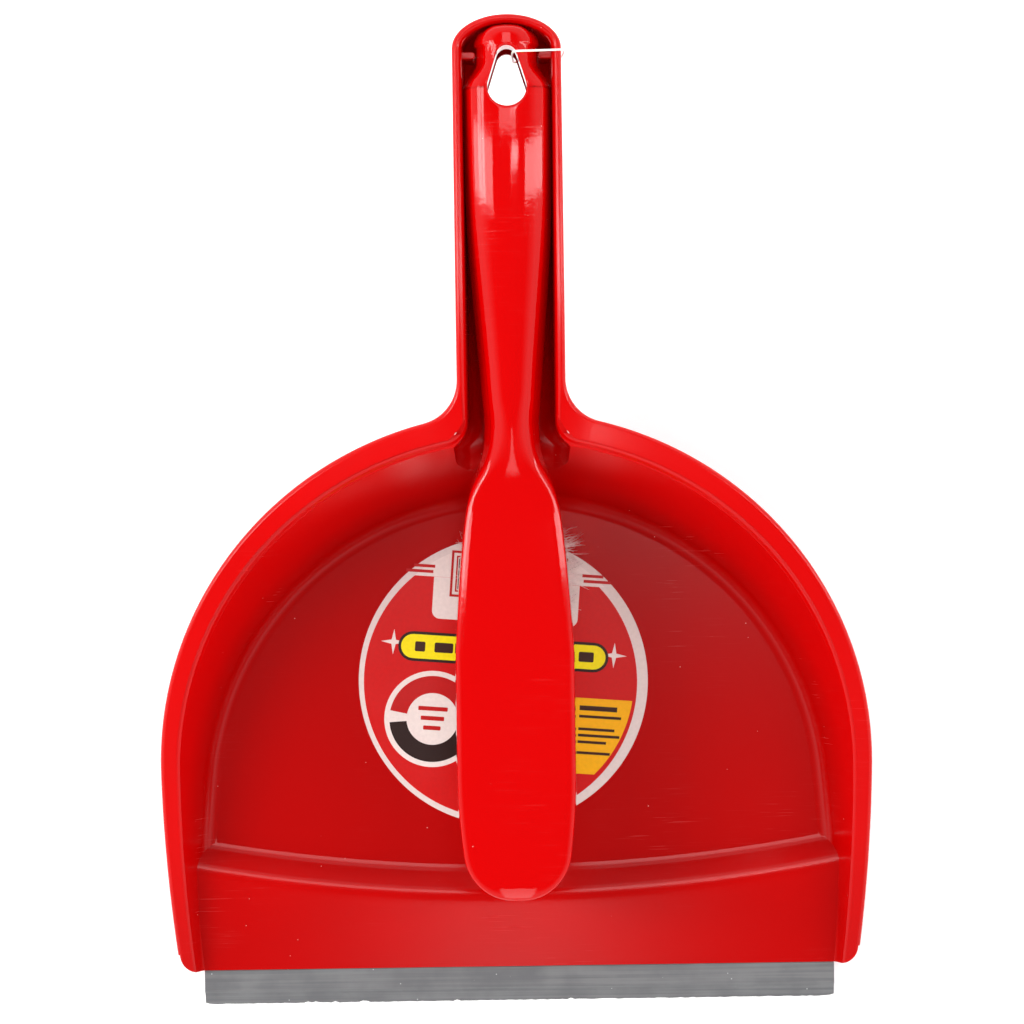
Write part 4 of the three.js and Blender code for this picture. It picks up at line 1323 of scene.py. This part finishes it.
class DUSTPAN_OT_sticker(bpy.types.Operator):
    """Builds the round sticker: its film and a thin layer for each ink, with plain shapes only"""

    bl_idname = "dustpan.sticker"
    bl_label = "Round sticker"

    # Places are measured from the sticker's middle.
    print_middle = -0.0009
    pill = (-0.0006, 0.0096)
    badge = (-0.0227, -0.0142)
    badge_band = (0.0143, 0.0086)
    picture = (-0.0004, 0.0345)

    def execute(self, context):
        low, high = STICKER_BOX
        radius = (high[0] - low[0]) / 2
        film = Sheet(low[2], high[2])
        film.disc(0, 0, radius, 160)
        film.done("sticker_film", printed_film("sticker film", colours_of(context).film), ["pan_sticker"])
        ink, base = 0.00001, high[2]
        layers = (
            ("red", self.red(radius, base, ink), "#D00000"),
            ("white", self.white(base + ink, ink), "#F4E6E0"),
            ("dark", self.dark(base + 2 * ink, ink), "#2A1410"),
            ("yellow", self.yellow(base + 3 * ink, ink), "#FFEE00"),
            ("amber", self.amber(base + 3 * ink, ink), "#FFB800"),
        )
        for name, sheet, code in layers:
            sheet.done(f"sticker_{name}_ink", printed_film(name + " ink", code))
        self.details(base + 4 * ink, ink)
        return {"FINISHED"}

    def red(self, radius, base, ink):
        sheet = Sheet(base, base + ink)
        sheet.disc(self.print_middle, -0.0004, radius - 0.0026, 160)
        return sheet

    def white(self, base, ink):
        """The pale cap above the box, the box itself, sparkles and the badge's rim."""
        sheet = Sheet(base, base + ink)
        reach, chord = 0.0458, 0.0331
        first = math.asin(chord / reach)
        cap = []
        for i in range(41):
            a = mix(first, math.pi - first, i / 40)
            cap.append((reach * math.cos(a), reach * math.sin(a)))
        sheet.outline(cap)
        half, top, bottom, corner = 0.02425, 0.03305, 0.0192, 0.0027
        box = [(self.print_middle + half, top), (self.print_middle - half, top)]
        for side, start in ((-1, 180), (1, 270)):
            for i in range(7):
                a = math.radians(start + 15 * i)
                x = self.print_middle + side * (half - corner) + corner * math.cos(a)
                box.append((x, bottom + corner + corner * math.sin(a)))
        sheet.outline(box)
        for x, y in ((-0.0372, 0.0106), (0.0362, 0.0107)):
            self.sparkle(sheet, x, y, 0.0042)
        sheet.disc(*self.badge, 0.016, 72)
        return sheet

    def sparkle(self, sheet, x, y, size):
        """A four-pointed sparkle."""
        points = []
        for i in range(8):
            reach = size if i % 2 == 0 else size * 0.24
            points.append((x + reach * math.cos(math.pi * i / 4), y + reach * math.sin(math.pi * i / 4)))
        sheet.outline(points)

    def dark(self, base, ink):
        """The pill's outline and the lower half of the badge's band."""
        sheet = Sheet(base, base + ink)
        sheet.box(*self.pill, 0.0700, 0.0099, 0.00495)
        sheet.ring(*self.badge, *self.badge_band, 188, 352, 40)
        return sheet

    def yellow(self, base, ink):
        sheet = Sheet(base, base + ink)
        sheet.box(*self.pill, 0.0681, 0.0080, 0.0040)
        return sheet

    def amber(self, base, ink):
        """The panel at the right, whose outer edge follows the sticker's ring."""
        sheet = Sheet(base, base + ink)
        reach, left = 0.0434, 0.0245
        top, bottom = -0.0040, -0.0292
        first = math.atan2(bottom, math.sqrt(reach**2 - bottom**2))
        last = math.atan2(top, math.sqrt(reach**2 - top**2))
        points = [(left, top), (left, bottom)]
        for i in range(21):
            a = mix(first, last, i / 20)
            points.append((reach * math.cos(a), reach * math.sin(a)))
        sheet.outline(points)
        return sheet

    def details(self, base, ink):
        """Bars and simple figures in place of lettering."""
        red, dark, pale = Sheet(base, base + ink), Sheet(base, base + ink), Sheet(base, base + ink)
        for x, y, width in ((-0.0285, 0.0365, 0.0070), (-0.0300, 0.0347, 0.0090)):
            red.box(x, y, width, 0.0010)
            red.box(-x - 0.001, y, width, 0.0010)
        self.frame(red, *self.picture, 0.0386, 0.0154, 0.0008)
        self.frame(red, *self.picture, 0.0352, 0.0120, 0.0005)
        dark.box(*self.picture, 0.0336, 0.0104, 0.0004)
        for i, width in enumerate((0.0034, 0.0062, 0.0028, 0.0055, 0.0040, 0.0066, 0.0032, 0.0050)):
            dark.box(-0.0283 + 0.0079 * i, self.pill[1], width, 0.0033, 0.0005)
        red.ring(*self.badge, *self.badge_band, 8, 172, 40)
        for i in range(3):
            red.box(self.badge[0], -0.0108 - 0.0032 * i, 0.0098 - 0.002 * i, 0.0014, 0.0003)
        lines = ((-0.0073, 0.0125), (-0.0101, 0.0140), (-0.0143, 0.0120))
        lines += ((-0.0164, 0.0138), (-0.0186, 0.0095), (-0.0222, 0.0110))
        for i, (y, width) in enumerate(lines):
            dark.box(0.0259 + width / 2, y, width, 0.0009 if i else 0.0016)
        bars = ((-0.0060, 0.0180), (-0.0090, 0.0230), (-0.0330, 0.0300), (-0.0362, 0.0220))
        for i, (y, width) in enumerate(bars):
            pale.box(0.0060 + 0.001 * i, y, width, 0.0011)
        red.done("sticker_red_details", printed_film("red print", "#C00808"))
        dark.done("sticker_dark_details", printed_film("dark print", "#3A1A10"))
        pale.done("sticker_pale_details", printed_film("pale print", "#EBD9D2"))

    def frame(self, sheet, x, y, width, height, line):
        for side in (1, -1):
            sheet.box(x, y + side * (height - line) / 2, width, line)
            sheet.box(x + side * (width - line) / 2, y, line, height - 2 * line)


def printed_film(name, code):
    """Flexographic ink under a clear laminate on polypropylene film: flat colour, satin gloss.

    The ink lies a little unevenly, and the laminate has slow ripples from being pressed down.
    """
    material, tree, place = new_material(name)
    # Mottle about 1.2 mm across, as thin ink dries.
    mottle = add(tree, "TexNoise", {"Vector": place, "Scale": per_metre(0.0012), "Detail": 2.0})
    pressed = tuple(0.84 * part for part in linear(code)[:3]) + (1.0,)
    tone = add(
        tree,
        "Mix",
        {"Factor": mottle.outputs["Fac"], "A": linear(code), "B": pressed},
        data_type="RGBA",
    )
    ripple = add(tree, "TexNoise", {"Vector": place, "Scale": per_metre(0.009), "Detail": 1.0})
    gloss = add(tree, "MapRange", {"Value": ripple.outputs["Fac"], "To Min": 0.3, "To Max": 0.48})
    bump = add(tree, "Bump", {"Height": ripple.outputs["Fac"], "Strength": 0.15, "Distance": 0.0002})
    shader = add(
        tree,
        "BsdfPrincipled",
        {
            "Base Color": tone.outputs["Result"],
            "Roughness": gloss.outputs["Result"],
            "Normal": bump.outputs["Normal"],
            "IOR": 1.49,
            "Specular IOR Level": 0.25,
        },
    )
    surface(tree, shader)
    return material


# Operators: the stage


class DUSTPAN_OT_stage(bpy.types.Operator):
    """Sets out the pale floor, the soft studio lights and the camera straight above"""

    bl_idname = "dustpan.stage"
    bl_label = "Floor, lights and camera"

    def execute(self, context):
        self.floor()
        self.world(context)
        for name, place, size, power in (
            ("left strip light", (-1.0, 0.1, 0.9), (1.4, 0.16), 7.0),
            ("right strip light", (1.0, 0.1, 0.8), (1.4, 0.12), 6.0),
            ("front strip light", (0.0, -1.2, 0.9), (1.4, 0.12), 2.0),
        ):
            self.area_light(name, place, size, power)
        self.window()
        self.sheen()
        self.camera(context)
        return {"FINISHED"}

    def floor(self):
        deselect()
        under = (0, 0, -0.0002)
        bpy.ops.mesh.primitive_grid_add(x_subdivisions=8, y_subdivisions=8, size=6, location=under)
        floor = settled(bpy.context.object)
        floor.name = "studio_floor"
        material, tree, place = new_material("matt white paper")
        grain = add(tree, "TexNoise", {"Vector": place, "Scale": per_metre(0.3), "Detail": 2.0})
        tone = add(
            tree,
            "Mix",
            {"Factor": grain.outputs["Fac"], "A": linear("#FFFFFF"), "B": linear("#FBF9F9")},
            data_type="RGBA",
        )
        # It glows faintly, like a light table, which keeps the shadows on it pale.
        paper = {
            "Base Color": tone.outputs["Result"],
            "Roughness": 0.9,
            "Specular IOR Level": 0.1,
            "Emission Color": linear("#FFFFFF"),
            "Emission Strength": 0.22,
        }
        surface(tree, add(tree, "BsdfPrincipled", paper))
        floor.data.materials.append(material)

    def world(self, context):
        world = bpy.data.worlds.new("studio")
        context.scene.world = world
        world.use_nodes = True
        back = world.node_tree.nodes["Background"]
        back.inputs["Color"].default_value = linear("#FFFFFF")
        # A dim ceiling over bright walls, so that level plastic keeps its full colour.
        tree = world.node_tree
        way = add(tree, "SeparateXYZ", {"Vector": add(tree, "TexCoord").outputs["Generated"]})
        bright = add(
            tree,
            "MapRange",
            {"Value": way.outputs["Z"], "From Min": 0.6, "From Max": 0.86, "To Min": 1.45, "To Max": 0.16},
        )
        tree.links.new(bright.outputs["Result"], back.inputs["Strength"])

    def area_light(self, name, place, size, power):
        """A lit rectangle that faces the object."""
        deselect()
        bpy.ops.object.light_add(type="AREA", location=place)
        lamp = bpy.context.object
        lamp.name = name
        lamp.data.shape = "RECTANGLE"
        lamp.data.size, lamp.data.size_y = size[1], size[0]
        lamp.data.energy = power
        aim = Vector((0, 0, 0.03)) - Vector(place)
        lamp.rotation_euler = aim.to_track_quat("-Z", "Y").to_euler()
        return lamp

    def power_of(self, size, brightness):
        """The watts that make a rectangle this bright, whatever its size."""
        return math.pi * brightness * size[0] * size[1]

    def window(self):
        """Panes of a window, each three lit slats, which the brush's crowned handle reflects."""
        for side, reach, height, slat in (("right", 0.22, 1.5, 0.05), ("left", -1.05, 1.05, 0.16)):
            for row, along_y in (("upper", 0.26), ("lower", 0.09)):
                for i in range(3):
                    place = (reach + (i - 1) * slat * 1.5, along_y, height)
                    size = (0.12, slat)
                    self.area_light(f"{side} {row} slat {i + 1}", place, size, self.power_of(size, 15))

    def sheen(self):
        """A wide pale card beyond the handle's end, seen only as a sheen on plastic that faces it."""
        size = (0.7, 0.5)
        card = self.area_light("sheen card", (0, 0.48, 1.25), size, self.power_of(size, 5))
        card.visible_diffuse = False

    def camera(self, context):
        height, half_view = 1.2, 0.1705
        deselect()
        turn = (0, 0, -math.radians(0.82))
        bpy.ops.object.camera_add(location=(-0.0003, 0.0025, height), rotation=turn)
        camera = bpy.context.object
        camera.data.sensor_fit = "HORIZONTAL"
        camera.data.angle = 2 * math.atan(half_view / height)
        camera.data.dof.use_dof = False
        context.scene.camera = camera
        context.scene.view_settings.view_transform = "Standard"


# The panel and the order of work

STEPS = [
    DUSTPAN_OT_stage,
    DUSTPAN_OT_pan,
    DUSTPAN_OT_lip,
    DUSTPAN_OT_brush_body,
    DUSTPAN_OT_bristles,
    DUSTPAN_OT_tie,
    DUSTPAN_OT_sticker,
]


class DUSTPAN_PT_pieces(bpy.types.Panel):
    """Lists the set's pieces in the sidebar"""

    bl_idname = "DUSTPAN_PT_pieces"
    bl_label = "Dust pan and brush"
    bl_space_type = "VIEW_3D"
    bl_region_type = "UI"
    bl_category = "Dust Pan"

    def draw(self, context):
        for step in STEPS:
            self.layout.operator(step.bl_idname)
        scene = context.scene
        for sizes in (scene.dust_pan_sizes, scene.hand_brush_sizes, scene.dust_pan_colours):
            box = self.layout.box()
            for key in sizes.bl_rna.properties.keys():
                if key not in ("rna_type", "name"):
                    box.prop(sizes, key)


CLASSES = [PanSizes, BrushSizes, SetColours, *STEPS, DUSTPAN_PT_pieces]


def register():
    for kind in CLASSES:
        bpy.utils.register_class(kind)
    bpy.types.Scene.dust_pan_sizes = bpy.props.PointerProperty(type=PanSizes)
    bpy.types.Scene.hand_brush_sizes = bpy.props.PointerProperty(type=BrushSizes)
    bpy.types.Scene.dust_pan_colours = bpy.props.PointerProperty(type=SetColours)


def unregister():
    del bpy.types.Scene.dust_pan_sizes
    del bpy.types.Scene.hand_brush_sizes
    del bpy.types.Scene.dust_pan_colours
    for kind in reversed(CLASSES):
        bpy.utils.unregister_class(kind)


def main():
    register()
    for step in STEPS:
        group, name = step.bl_idname.split(".")
        getattr(getattr(bpy.ops, group), name)()


if __name__ == "__main__":
    main()
